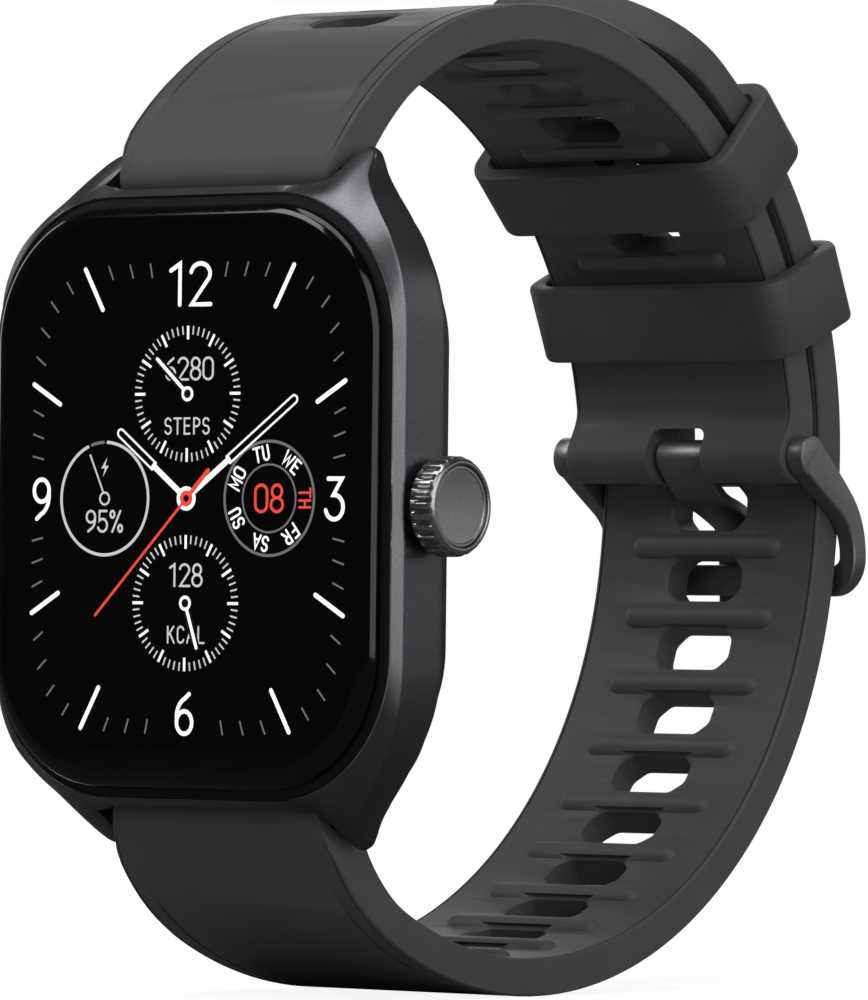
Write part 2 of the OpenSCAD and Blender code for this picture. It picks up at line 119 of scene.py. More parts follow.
def bend(t, a, b, c, d):
    """Catmull-Rom value between b and c."""
    return 0.5 * (2 * b + (c - a) * t + (2 * a - 5 * b + 4 * c - d) * t * t + (3 * b - a - 3 * c + d) * t**3)


class Path:
    """A chain of arcs in the YZ plane: start point, heading, and [radius, turn] rows."""

    def __init__(self, start, heading, arcs):
        self.start, self.heading, self.arcs = Vector(start), heading, arcs

    def at(self, d):
        """Point and heading at a distance along the path; straight on before its start."""
        p, h = self.start.copy(), self.heading
        if d < 0:
            return p + unit(h) * d, h
        for i, (radius, turn) in enumerate(self.arcs):
            length = radius * abs(math.radians(turn))
            part = d / length if d <= length or i == len(self.arcs) - 1 else 1.0
            side = math.copysign(radius, turn)
            centre = p + left(h) * side
            h += turn * part
            p = centre - left(h) * side
            if part != 1.0 or d <= length:
                break
            d -= length
        return p, h


UPPER = Path((BAR_Y, BAR_Z), 77, [[7, -26], [24, -36.5], [31.4, -90]])
LOWER = Path((BAR_Y, -BAR_Z), -70, [[14.2, 44], [34.1, 108], [61.6, 8], [31.6, 49], [60, 30]])


def on_path(path, out, x, d, h):
    """Place of a flat band point: x across, d along, h outwards; out is +1 if left is outwards."""
    p, heading = path.at(d)
    q = p + left(heading) * (h * out)
    return (x, q.x, q.y)


BAR_AT = Vector(on_path(UPPER, 1, 0, UPPER_LEN, -BAR_IN)[1:])


# ---- mesh helpers


def loft(rings, loop=False, caps=True):
    """Vertices and faces of a skin through rings of equal length."""
    n, m = len(rings[0]), len(rings)
    verts = [p for ring in rings for p in ring]
    faces = []
    for i in range(m if loop else m - 1):
        a, b = i * n, (i + 1) % m * n
        for j in range(n):
            k = (j + 1) % n
            faces.append((a + j, a + k, b + k, b + j))
    if caps and not loop:
        faces.append(tuple(reversed(range(n))))
        faces.append(tuple(range((m - 1) * n, m * n)))
    return verts, faces


def merged(*shapes):
    """Several (verts, faces) as one."""
    verts, faces = [], []
    for v, f in shapes:
        base = len(verts)
        verts += v
        faces += [tuple(i + base for i in face) for face in f]
    return verts, faces


def clean(mesh, weld=True):
    """Welds coincident points, if asked, and turns the faces outwards."""
    bm = bmesh.new()
    bm.from_mesh(mesh)
    if weld:
        bmesh.ops.remove_doubles(bm, verts=bm.verts, dist=1e-7)
        bmesh.ops.dissolve_degenerate(bm, edges=bm.edges, dist=1e-8)
    bmesh.ops.recalc_face_normals(bm, faces=bm.faces)
    bm.to_mesh(mesh)
    bm.free()


def place(name, data):
    """A new object in the scene."""
    obj = bpy.data.objects.new(name, data)
    bpy.context.scene.collection.objects.link(obj)
    return obj


def make(name, shape, weld=True):
    """A new object from (verts, faces)."""
    verts, faces = shape
    mesh = bpy.data.meshes.new(name)
    mesh.from_pydata([Vector(v) * MM for v in verts], [], faces)
    clean(mesh, weld)
    return place(name, mesh)


def boolean(obj, other, operation="DIFFERENCE"):
    """Applies a Boolean with another object and removes that object."""
    mod = obj.modifiers.new("shape", "BOOLEAN")
    mod.solver = "EXACT"
    mod.operation = operation
    mod.object = other
    bpy.context.view_layer.update()
    graph = bpy.context.evaluated_depsgraph_get()
    mesh = bpy.data.meshes.new_from_object(obj.evaluated_get(graph))
    obj.modifiers.clear()
    old, obj.data = obj.data, mesh
    bpy.data.meshes.remove(old)
    bpy.data.objects.remove(other)


def cut(obj, shape):
    """Cuts a (verts, faces) shape out of an object."""
    boolean(obj, make("cut", shape))


def shade(obj, material, sharp=32):
    """Smooth shading with sharp edges above an angle, and one material."""
    clean(obj.data)
    obj.data.materials.clear()
    obj.data.materials.append(material)
    for poly in obj.data.polygons:
        poly.use_smooth = True
    obj.data.set_sharp_from_angle(angle=math.radians(sharp))


def attach(obj, body, slot, *nodes):
    """Rides on a body and stands for CAD nodes; its slot argument is not used."""
    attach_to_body(obj, body)
    if nodes:
        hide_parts(*nodes)


def rounded_rect(half_w, half_h, r, per_corner=16):
    """Outline of a rounded rectangle, anticlockwise from the right side's lower end."""
    points = []
    for cx, cy, start in ((1, -1, -90), (1, 1, 0), (-1, 1, 90), (-1, -1, 180)):
        for i in range(per_corner + 1):
            p = unit(start + 90 * i / per_corner) * r
            points.append((cx * (half_w - r) + p.x, cy * (half_h - r) + p.y))
    return points


def block_rings(half_w, half_h, r, stations, per_corner=16):
    """Rings of a rounded block along Y; a station is (y, how far the outline shrinks)."""
    rings = []
    for y, s in stations:
        outline = rounded_rect(half_w - s, half_h - s, max(0.05, r - s), per_corner)
        rings.append([(x, y, z) for x, z in outline])
    return rings


def turned_x(profile, y, z, sides=48):
    """Rings of a body of revolution about an X axis at (y, z); the profile holds (x, radius)."""
    turn = [unit(360 * i / sides) for i in range(sides)]
    return [[(x, y + a.x * r, z + a.y * r) for a in turn] for x, r in profile]


def rod_x(half, r, y, z, sides=32):
    """Plain cylinder along X, centred on x = 0."""
    return loft(turned_x([(-half, r), (half, r)], y, z, sides))


def turned_y(profile, sides=72):
    """Rings of a body of revolution about the Y axis; the profile holds (y, radius)."""
    turn = [unit(360 * i / sides) for i in range(sides)]
    return [[(a.x * r, y, a.y * r) for a in turn] for y, r in profile]


# ---- materials


class Nodes:
    """Short way to build one node material."""

    def __init__(self, name):
        self.mat = bpy.data.materials.new(name)
        self.mat.use_nodes = True
        self.tree = self.mat.node_tree
        self.bsdf = self.tree.nodes["Principled BSDF"]
        self.coord = self.tree.nodes.new("ShaderNodeTexCoord").outputs["Object"]

    def add(self, kind, **inputs):
        return self.feed(self.tree.nodes.new(kind), inputs)

    def feed(self, node, inputs):
        """Links or sets a node's inputs; an underscore stands for a space."""
        for key, value in inputs.items():
            name = key.replace("_", " ")
            if isinstance(value, bpy.types.NodeSocket):
                self.tree.links.new(value, node.inputs[name])
            else:
                node.inputs[name].default_value = value
        return node

    def noise(self, scale, detail=3, roughness=0.55, vector=None):
        shape = {"Scale": scale, "Detail": detail, "Roughness": roughness}
        return self.add("ShaderNodeTexNoise", Vector=vector or self.coord, **shape).outputs["Fac"]

    def ramp(self, fac, stops):
        node = self.add("ShaderNodeValToRGB", Fac=fac)
        while len(node.color_ramp.elements) < len(stops):
            node.color_ramp.elements.new(0.5)
        for element, (place, colour) in zip(node.color_ramp.elements, stops):
            element.position = place
            element.color = (*colour, 1) if len(colour) == 3 else colour
        return node.outputs["Color"]

    def span(self, fac, low, high, from_low=0.3, from_high=0.7):
        ends = {"From_Min": from_low, "From_Max": from_high, "To_Min": low, "To_Max": high}
        return self.add("ShaderNodeMapRange", Value=fac, **ends).outputs["Result"]

    def bump(self, height, strength, distance, normal=None):
        node = self.add("ShaderNodeBump", Strength=strength, Distance=distance, Height=height)
        if normal:
            self.tree.links.new(normal, node.inputs["Normal"])
        return node.outputs["Normal"]

    def set(self, **inputs):
        self.feed(self.bsdf, inputs)
        return self.mat


def shades(colour, spread):
    """Two colour stops either side of a colour."""
    return [
        (0.3, tuple(c * (1 - spread) for c in colour)),
        (0.7, tuple(min(1, c * (1 + spread)) for c in colour)),
    ]


def silicone(name, colour, roughness=0.56):
    """Soft moulded rubber: a fine matt grain, faint cloudiness and a little dust sheen."""
    m = Nodes(name)
    cloud = m.noise(260, 4, 0.6)
    grain = m.noise(9000, 2, 0.6)
    return m.set(
        Base_Color=m.ramp(cloud, shades(colour, 0.07)),
        Roughness=m.span(cloud, roughness - 0.05, roughness + 0.05),
        Normal=m.bump(grain, 0.12, 0.00002, m.bump(cloud, 0.05, 0.00004)),
        Specular_IOR_Level=0.42,
        Sheen_Weight=0.06,
        Sheen_Roughness=0.45,
    )


def satin_metal(name, colour, roughness=0.36, grain_size=7000, grain=0.25):
    """Bead-blasted, dark-anodised metal with a fine sparkle."""
    m = Nodes(name)
    blast = m.noise(grain_size, 2, 0.7)
    cloud = m.noise(180, 3, 0.5)
    return m.set(
        Base_Color=m.ramp(blast, shades(colour, 0.16)),
        Metallic=1.0,
        Roughness=m.span(cloud, roughness - 0.03, roughness + 0.03),
        Normal=m.bump(blast, grain, 0.000012),
    )


def plastic(name, colour, roughness=0.4, grain=0.15, spread=0.06, specular=0.5):
    """Moulded or coated plastic."""
    m = Nodes(name)
    cloud = m.noise(300, 3)
    fine = m.noise(5200, 2)
    return m.set(
        Base_Color=m.ramp(cloud, shades(colour, spread)),
        Roughness=m.span(fine, roughness - 0.05, roughness + 0.06),
        Normal=m.bump(fine, grain, 0.00001),
        Specular_IOR_Level=specular,
    )


def brushed_metal(name, colour, roughness=0.3):
    """Bright metal with fine lines along X."""
    m = Nodes(name)
    stretch = m.add("ShaderNodeMapping", Vector=m.coord, Scale=(150, 6000, 6000))
    lines = m.noise(1, 3, 0.6, stretch.outputs["Vector"])
    return m.set(
        Base_Color=m.ramp(lines, shades(colour, 0.12)),
        Metallic=1.0,
        Roughness=m.span(lines, roughness - 0.06, roughness + 0.08),
        Normal=m.bump(lines, 0.12, 0.00001),
    )


def board_material(name):
    """Green solder mask with copper tracks under it."""
    m = Nodes(name)
    tracks = m.add(
        "ShaderNodeTexBrick",
        Vector=m.coord,
        Scale=420.0,
        Color1=(0.012, 0.1, 0.045, 1),
        Color2=(0.016, 0.13, 0.06, 1),
        Mortar=(0.03, 0.2, 0.09, 1),
        Mortar_Size=0.03,
    )
    return m.set(
        Base_Color=tracks.outputs["Color"],
        Roughness=m.span(m.noise(900), 0.28, 0.42),
        Normal=m.bump(tracks.outputs["Fac"], 0.3, 0.00002),
    )


def clear_glass():
    """Hard clear glass with the faintest haze."""
    m = Nodes("cover_glass")
    return m.set(
        Base_Color=(1, 1, 1, 1),
        Transmission_Weight=1.0,
        IOR=1.5,
        Roughness=m.span(m.noise(120, 4), 0.0, 0.012),
    )


def lit(name, colour, strength=1.0):
    """A lit part of the display, with the faint pixel grid of the panel."""
    m = Nodes(name)
    pixels = m.noise(12000, 1)
    return m.set(
        Base_Color=(0.0, 0.0, 0.0, 1),
        Roughness=0.4,
        Emission_Color=m.ramp(pixels, shades(colour, 0.02)),
        Emission_Strength=strength,
    )


STRAP = silicone("silicone", (0.08, 0.081, 0.083))
KEEPER = silicone("keeper_silicone", (0.066, 0.067, 0.069), 0.52)
CASE_METAL = satin_metal("case_metal", (0.19, 0.195, 0.204), 0.36)
CROWN_METAL = satin_metal("crown_metal", (0.42, 0.425, 0.435), 0.26, grain=0.1)
BUCKLE_METAL = satin_metal("buckle_metal", (0.34, 0.345, 0.352), 0.45)
# Lighter copy of the case metal for the opening's chamfer: a painted highlight line
RIM_HIGHLIGHT_METAL = satin_metal("rim_painted_highlight_metal", (0.75, 0.76, 0.78), 0.22, grain=0.05)
GLASS = clear_glass()
BLACK_INK = plastic("black_ink", (0.0006, 0.0006, 0.0007), 0.5, 0.0)
BORDER = plastic("glass_border", (0.0005, 0.0005, 0.0006), 0.09, 0.0)
BONDED = plastic("bonded_black", (0.0004, 0.0004, 0.0005), 0.9, 0.0, specular=0.0)
SEAL = plastic("seal_rubber", (0.004, 0.004, 0.004), 0.7, 0.4)
WHITE_LIT = lit("display_white", (1.0, 1.0, 1.0), 1.15)
SOFT_LIT = lit("display_soft_white", (0.62, 0.63, 0.65))
GREY_LIT = lit("display_grey", (0.16, 0.165, 0.17))
RED_LIT = lit("display_red", (0.9, 0.07, 0.045))


# ---- case frame

OPEN_W, OPEN_H, OPEN_R = CASE_W / 2 - 0.75, 20.65, 10.1
# The front skin's corner: the angle round the opening's corner where each ruling starts, and the place
# (x, y, z) where it ends on the lug's edge, from the top edge round the lug's tip to the side
CORNER = [
    (90, 7.6, -7.75, 21.35),
    (84, 8.7, -6.75, 21.45),
    (78, 9.5, -5.55, 21.9),
    (72, 10.05, -4.6, 22.7),
    (68, 10.3, -3.75, 23.5),
    (64, 11.0, -3.2, 24.0),
    (61, 11.75, -3.45, 23.75),
    (58, 12.2, -4.15, 23.1),
    (53, 12.75, -5.2, 22.1),
    (47, 13.7, -6.05, 20.9),
    (38, 15.2, -6.95, 19.35),
    (28, 16.7, -7.55, 17.5),
    (17, 17.75, -7.8, 15.2),
    (8, 18.2, -7.8, 12.9),
    (0, 18.3, -7.8, 10.5),
]
# How far back the side face reaches, by height above the middle
SIDE_BACK = [(0, -3.6), (12, -3.6), (16.6, -4.0), (18.8, -3.8), (21.1, -3.1), (23.2, -2.75), (24.1, -2.65)]


def table_at(rows, x):
    """Straight-line lookup in rows of (x, value)."""
    for (x0, v0), (x1, v1) in zip(rows, rows[1:]):
        if x <= x1:
            return lerp(v0, v1, (x - x0) / (x1 - x0))
    return rows[-1][1]


def quadrant():
    """Rows of (inner point, outer point, back point, how curved the skin is) from the top to the side."""
    rows = []
    top_n, side_n, back_r = 6, 8, 9.7
    back_w, back_h = CASE_W / 2 - 1.2, CASE_H / 2 - 1.2

    def back_at(angle):
        return (back_w - back_r + back_r * unit(angle).x, back_h - back_r + back_r * unit(angle).y)

    for i in range(top_n):
        t = i / top_n
        x = OPEN_W - OPEN_R
        bx, bz = back_at(90)
        rows.append(((x * t, OPEN_H), (CORNER[0][1] * t, CORNER[0][2], CORNER[0][3]), (bx * t, bz), 0))
    corner = spline(CORNER, 7)
    for i, (angle, x, y, z) in enumerate(corner):
        curl = math.sin(math.pi * i / (len(corner) - 1))
        centre = (OPEN_W - OPEN_R, OPEN_H - OPEN_R)
        inner = (centre[0] + OPEN_R * unit(angle).x, centre[1] + OPEN_R * unit(angle).y)
        rows.append((inner, (x, y, z), back_at(angle), curl))
    for i in range(1, side_n + 1):
        t = 1 - i / side_n
        bx, bz = back_at(0)
        _, x, y, z = CORNER[-1]
        rows.append(((OPEN_W, (OPEN_H - OPEN_R) * t), (x, y, z * t), (bx, bz * t), 0))
    return rows


def full_ring(points):
    """A whole ring from one quadrant's points, from the top's middle to the right side's middle."""
    ends = points[:-1]
    back = list(reversed(points))[:-1]
    ring = list(ends)
    for sx, sz, quarter in ((1, -1, back), (-1, -1, ends), (-1, 1, back)):
        ring += [(sx * x, y, sz * z) for x, y, z in quarter]
    return ring


def case_skin():
    """Rings of the case's outer skin: opening edge, front skin, side face and back."""
    rows = quadrant()
    land, fillet = 0.16, 0.16
    rings = [[(r[0][0], RIM_Y, r[0][1]) for r in rows]]

    def front(row, v):
        (ix, iz), (ox, oy, oz), _, curl = row
        bend = v ** (1 + 0.35 * curl)
        return (lerp(ix, ox, v), lerp(RIM_Y, oy, bend), lerp(iz, oz, v))

    def side(row, w, bulge=0.0):
        _, (ox, oy, oz), _, _ = row
        back = -3.0 if oz >= CORNER[0][3] and ox <= CORNER[0][1] else table_at(SIDE_BACK, oz)
        out = 1 + bulge / max(ox, oz)
        return (ox * out, lerp(oy, max(back, oy + 0.5), w), oz * out)

    def share(row, length):
        (ix, iz), (ox, oy, oz), _, _ = row
        return length / math.dist((ix, RIM_Y, iz), (ox, oy, oz))

    def wall_share(row, length):
        return length / max(0.5, side(row, 1)[1] - row[1][1])

    rings.append([front(r, share(r, land) * 0.9) for r in rows])
    for k in range(1, 10):
        rings.append([front(r, lerp(share(r, land), 1 - share(r, fillet), k / 9)) for r in rows])
    for k in (1, 2, 3):
        t = k / 4
        ring = []
        for r in rows:
            ends = front(r, 1 - share(r, fillet)), r[1], side(r, wall_share(r, fillet))
            a, o, b = (Vector(p) for p in ends)
            ring.append(tuple(a * (1 - t) ** 2 + o * (2 * t * (1 - t)) + b * t * t))
        rings.append(ring)
    rings.append([side(r, wall_share(r, fillet)) for r in rows])
    for w in (0.25, 0.45, 0.65, 0.85):
        rings.append([side(r, w, 0.1 * math.sin(math.pi * w)) for r in rows])
    rings.append([side(r, 0.97, 0.02) for r in rows])
    for t in (0.04, 0.12, 1.0):
        ring = []
        for r in rows:
            x, y, z = side(r, 1)
            bx, bz = r[2]
            ring.append((lerp(x, bx, t), lerp(y, FRAME_BACK_Y, min(1, t * 1.4)), lerp(z, bz, t)))
        rings.append(ring)
    return loft([full_ring(r) for r in rings])


def root_recess(s):
    """The pocket that a band end turns in, open at the back."""
    r = ROOT_R + 0.35
    profile = [(BAR_Y + unit(a).x * r, unit(a).y * r) for a in range(-90, -271, -10)]
    profile = [(8, -r)] + profile + [(BAR_Y - 0.2, 9), (8, 9)]
    half = LUG_GAP / 2 + 0.02
    return loft([[(x, y, s * (BAR_Z + z)) for y, z in profile] for x in (-half, half)])


def box_shape(low, high):
    (x0, y0, z0), (x1, y1, z1) = low, high
    return loft([[(x0, y0, z), (x1, y0, z), (x1, y1, z), (x0, y1, z)] for z in (z0, z1)])


def build_case():
    case = make("case_shell", case_skin())
    seat = [(RIM_Y - 1, -0.1), (RIM_Y, -0.1), (RIM_Y + 0.12, 0), (LEDGE_Y, 0)]
    cut(case, loft(block_rings(OPEN_W, OPEN_H, OPEN_R, seat, 24)))
    display_bay = block_rings(15.7, 18.5, 8.5, [(LEDGE_Y - 0.5, 0), (-3.4, 0)])
    inner_bay = block_rings(16.4, 18.2, 8, [(-7.2, 0), (1, 0)])
    for bay in (display_bay, inner_bay):
        cut(case, loft(bay))
    for s in (1, -1):
        cut(case, root_recess(s))
    bore = turned_x([(13.4, 1.65), (CASE_W / 2 + 0.9, 1.65)], CROWN_Y, CROWN_Z)
    cut(case, loft(bore))
    for s, r in ((1, PLUNGER_HOLE_R), (-1, PLUNGER_SLOT_R)):
        cut(case, rod_x(11.5, r, BAR_Y, s * BAR_Z, 24))
    slot = box_shape(
        (-11.5, BAR_Y, -BAR_Z - PLUNGER_SLOT_R), (11.5, BAR_Y + 6, -BAR_Z + PLUNGER_SLOT_R)
    )
    cut(case, slot)
    shade(case, CASE_METAL, 28)
    attach(case, "case", "case_metal", "case_frame")


# ---- glass and seal

GLASS_W, GLASS_H, GLASS_R = CASE_W / 2 - 1.3, 20.05, 9.5
GLASS_LIFT = 0.03


def build_glass():
    """Raised glass with a rolled edge: clear in front, bonded black behind and black at the edge."""
    roll, drop, steps = 1.3, 0.85, 14
    stations = [(GLASS_BACK_Y - GLASS_LIFT, 0.12), (GLASS_BACK_Y - GLASS_LIFT - 0.1, 0)]
    for i in range(steps + 1):
        a = unit(90 * i / steps)
        stations.append((GLASS_Y + drop * (1 - a.y), roll * (1 - a.x)))
    glass = make("glass_lens", loft(block_rings(GLASS_W, GLASS_H, GLASS_R, stations, 28)))
    shade(glass, GLASS, 40)
    back_index, edge_index = 1, 2
    glass.data.materials.append(BONDED)
    glass.data.materials.append(BORDER)
    for poly in glass.data.polygons:
        if poly.normal.y > 0.5:
            poly.material_index = back_index
        elif poly.normal.y > -0.998:
            poly.material_index = edge_index
    attach(glass, "case", "cover_glass", "cover_glass")


def build_rim():
    """Chamfer cut round the case's opening, in a lighter copy of the case metal: a painted highlight line
    along the edge.
    """
    rings = []
    for grow, y in ((0.15, RIM_Y - 0.015), (0.0, RIM_Y + 0.12), (0.02, RIM_Y + 0.3), (0.17, RIM_Y + 0.1)):
        rings.append(block_rings(OPEN_W + grow, OPEN_H + grow, OPEN_R + grow, [(y, 0)], 28)[0])
    rim = make("rim_chamfer", loft(rings, loop=True))
    shade(rim, RIM_HIGHLIGHT_METAL, 40)
    attach(rim, "case", "case_metal")


def build_seal():
    """Soft ring between the glass and its ledge, filling the gap round the glass."""
    rings = []
    for half_w, half_h, r, y in (
        (OPEN_W - 0.03, OPEN_H - 0.03, OPEN_R - 0.03, LEDGE_Y),
        (OPEN_W - 0.03, OPEN_H - 0.03, OPEN_R - 0.03, LEDGE_Y - 0.08),
        (GLASS_W - 0.1, GLASS_H - 0.1, GLASS_R - 0.1, LEDGE_Y - 0.22),
        (16.0, 18.8, 8.6, LEDGE_Y - 0.26),
        (16.0, 18.8, 8.6, LEDGE_Y),
    ):
        rings.append(block_rings(half_w, half_h, r, [(y, 0)], 24)[0])
    seal = make("glass_seal", loft(rings, loop=True))
    shade(seal, SEAL)
    attach(seal, "case", "seal", "glass_gasket")


# ---- dial marks

# The display is bonded to the glass, so its marks lie just inside the glass's back face
DIAL_Y = GLASS_BACK_Y - 0.045
MARK_T = 0.008
DIAL_SHIFT, DIAL_SQUEEZE = (0.2, -0.12), 0.985


def strip(points, width, closed=False, ends=True):
    """Flat strip along a line of (x, z) points, with round ends."""
    pts = [Vector(p) for p in points]
    n = len(pts)
    shapes = []
    rows = []
    for i, p in enumerate(pts):
        before = pts[i - 1] if i or closed else None
        after = pts[(i + 1) % n] if i < n - 1 or closed else None
        a = (p - before).normalized() if before is not None else (after - p).normalized()
        b = (after - p).normalized() if after is not None else a
        mean = (a + b).normalized() if (a + b).length > 1e-6 else a
        side = Vector((-mean.y, mean.x)) * (width / 2 / max(0.5, mean.dot(a)))
        rows.append((p + side, p - side))
    if closed:
        rows.append(rows[0])
    for (a, b), (c, d) in zip(rows, rows[1:]):
        shapes.append([a, c, d, b])
    if ends and not closed:
        for p in (pts[0], pts[-1]):
            shapes.append([p + unit(30 * k) * (width / 2) for k in range(12)])
    return shapes


def disc(centre, r, sides=40):
    return [[Vector(centre) + unit(360 * k / sides) * r for k in range(sides)]]


def arc(centre, rx, rz, a0, a1, n=24):
    """Points of an elliptical arc; angles run anticlockwise from the right."""
    return [
        (centre[0] + rx * unit(lerp(a0, a1, i / n)).x, centre[1] + rz * unit(lerp(a0, a1, i / n)).y)
        for i in range(n + 1)
    ]


def hoop(x, z, r, width, n=28):
    """Thin ring."""
    return strip(arc((x, z), r, r, 0, 360, n)[:-1], width, closed=True)


def oval(x, z, rx, rz):
    return arc((x, z), rx, rz, 0, 360, 32)[:-1]


# Each character is a list of (points, closed) in a cell that is 0.5 wide and 1 high
BOWL = [(0.07, 0), (0.07, 1), (0.28, 1), (0.43, 0.9)]
BOWL += [(0.47, 0.74), (0.42, 0.57), (0.28, 0.48), (0.07, 0.48)]
GLYPHS = {
    "0": [(arc((0.25, 0.74), 0.25, 0.26, 0, 180, 16) + arc((0.25, 0.26), 0.25, 0.26, 180, 360, 16), True)],
    "1": [([(0.06, 0.84), (0.3, 1), (0.3, 0)], False)],
    "2": [(arc((0.25, 0.75), 0.25, 0.25, 170, -25, 16) + [(0.02, 0), (0.52, 0)], False)],
    "3": [([(0.04, 1), (0.46, 1), (0.2, 0.6)] + arc((0.23, 0.3), 0.27, 0.3, 88, -165, 18), False)],
    "5": [([(0.46, 1), (0.07, 1), (0.05, 0.53)] + arc((0.23, 0.31), 0.26, 0.31, 125, -160, 18), False)],
    "6": [
        (oval(0.25, 0.28, 0.24, 0.28), True),
        ([(0.4, 0.99)] + arc((0.43, 0.42), 0.42, 0.5, 112, 190, 10), False),
    ],
    "8": [(oval(0.25, 0.76, 0.21, 0.24), True), (oval(0.25, 0.26, 0.25, 0.26), True)],
    "9": [
        (oval(0.25, 0.72, 0.24, 0.28), True),
        ([(0.1, 0.01)] + arc((0.07, 0.58), 0.42, 0.5, -68, 10, 10), False),
    ],
    "%": [
        (oval(0.12, 0.84, 0.11, 0.16), True),
        (oval(0.56, 0.16, 0.11, 0.16), True),
        ([(0.56, 1), (0.12, 0)], False),
    ],
}
GLYPHS.update({
    "A": [([(0, 0), (0.25, 1), (0.5, 0)], False), ([(0.09, 0.33), (0.41, 0.33)], False)],
    "C": [(arc((0.25, 0.72), 0.2, 0.28, 20, 180, 10) + arc((0.25, 0.28), 0.2, 0.28, 180, 340, 10), False)],
    "E": [
        ([(0.44, 1), (0.07, 1), (0.07, 0), (0.45, 0)], False),
        ([(0.07, 0.52), (0.4, 0.52)], False),
    ],
    "F": [([(0.44, 1), (0.07, 1), (0.07, 0)], False), ([(0.07, 0.5), (0.4, 0.5)], False)],
    "H": [
        ([(0.05, 0), (0.05, 1)], False),
        ([(0.46, 0), (0.46, 1)], False),
        ([(0.05, 0.52), (0.46, 0.52)], False),
    ],
    "K": [
        ([(0.07, 0), (0.07, 1)], False),
        ([(0.45, 1), (0.07, 0.42)], False),
        ([(0.2, 0.6), (0.48, 0)], False),
    ],
    "L": [([(0.07, 1), (0.07, 0), (0.44, 0)], False)],
    "M": [([(0.05, 0), (0.05, 1), (0.32, 0.3), (0.59, 1), (0.59, 0)], False)],
    "P": [(BOWL, False)],
    "R": [(BOWL, False), ([(0.27, 0.48), (0.48, 0)], False)],
    "S": [(arc((0.25, 0.75), 0.2, 0.25, 25, 250, 12) + arc((0.25, 0.26), 0.21, 0.26, 70, -160, 12), False)],
    "T": [([(0, 1), (0.5, 1)], False), ([(0.25, 1), (0.25, 0)], False)],
    "U": [([(0.05, 1)] + arc((0.25, 0.26), 0.2, 0.26, 180, 360, 12) + [(0.45, 1)], False)],
    "W": [([(0, 1), (0.16, 0), (0.33, 0.8), (0.5, 0), (0.66, 1)], False)],
    "O": GLYPHS["0"],
})
CELL = {"1": 0.42, "%": 0.68, "M": 0.64, "W": 0.66}


def writing(text, x, z, height, width, stroke, turn=0):
    """Characters centred on (x, z), stretched by width and turned anticlockwise."""
    gap = 0.17
    total = sum(CELL.get(c, 0.5) for c in text) + gap * (len(text) - 1)
    across, up = unit(turn), unit(turn + 90)
    at, shapes = -total / 2, []
    for c in text:
        for points, closed in GLYPHS[c]:
            placed = [
                Vector((x, z)) + across * ((at + px) * height * width) + up * ((pz - 0.5) * height)
                for px, pz in points
            ]
            shapes += strip(placed, stroke, closed)
        at += CELL.get(c, 0.5) + gap
    return shapes


def radial(centre, angle, r0, r1, width):
    """A tick at an angle clockwise from 12 o'clock."""
    u = unit(90 - angle)
    c = Vector(centre)
    return strip([c + u * r0, c + u * r1], width, ends=False)


def track(angle, half_w=14.05, half_h=16.45, power=5):
    """Distance from the dial's centre to the minute track."""
    u = unit(90 - angle)
    return (abs(u.x / half_w) ** power + abs(u.y / half_h) ** power) ** (-1 / power)


def hand(angle, neck, tip, width):
    """A hand with a solid neck and an outlined blade, as (blade, neck) shapes."""
    u = unit(90 - angle)
    v = Vector((u.y, -u.x))
    half = width / 2
    outline = [u * neck + v * half]
    outline += [u * (tip - half) + unit(18 * k - angle) * half for k in range(11)]
    outline += [u * neck - v * half]
    blade = strip(outline, 0.15, closed=True)
    return blade, strip([u * 0.6, u * (neck + 0.2)], 0.42, ends=False)


def bolt(x, z, s):
    rows = [(0.28, 1), (-0.5, -0.12), (-0.02, -0.12), (-0.28, -1), (0.5, 0.16), (0.04, 0.16)]
    return [[Vector((x + s * a, z + s * b)) for a, b in rows]]


def mark(name, shapes, material, level):
    """One piece of thin lit prisms; a higher level lies nearer the glass."""
    y0 = DIAL_Y - 0.0015 * level
    verts, faces = merged(*[loft([[(p.x, y, p.y) for p in s] for y in (y0, y0 + MARK_T)]) for s in shapes])
    dx, dz = DIAL_SHIFT
    obj = make(name, ([(x + dx, y, DIAL_SQUEEZE * z + dz) for x, y, z in verts], faces), weld=False)
    obj.data.materials.append(material)
    attach(obj, "case", "display")


HUB_X, HUB_Z, TICK_R, RING_R, DAY_R = 7.4, 7.3, 4.745, 3.96, 3.15


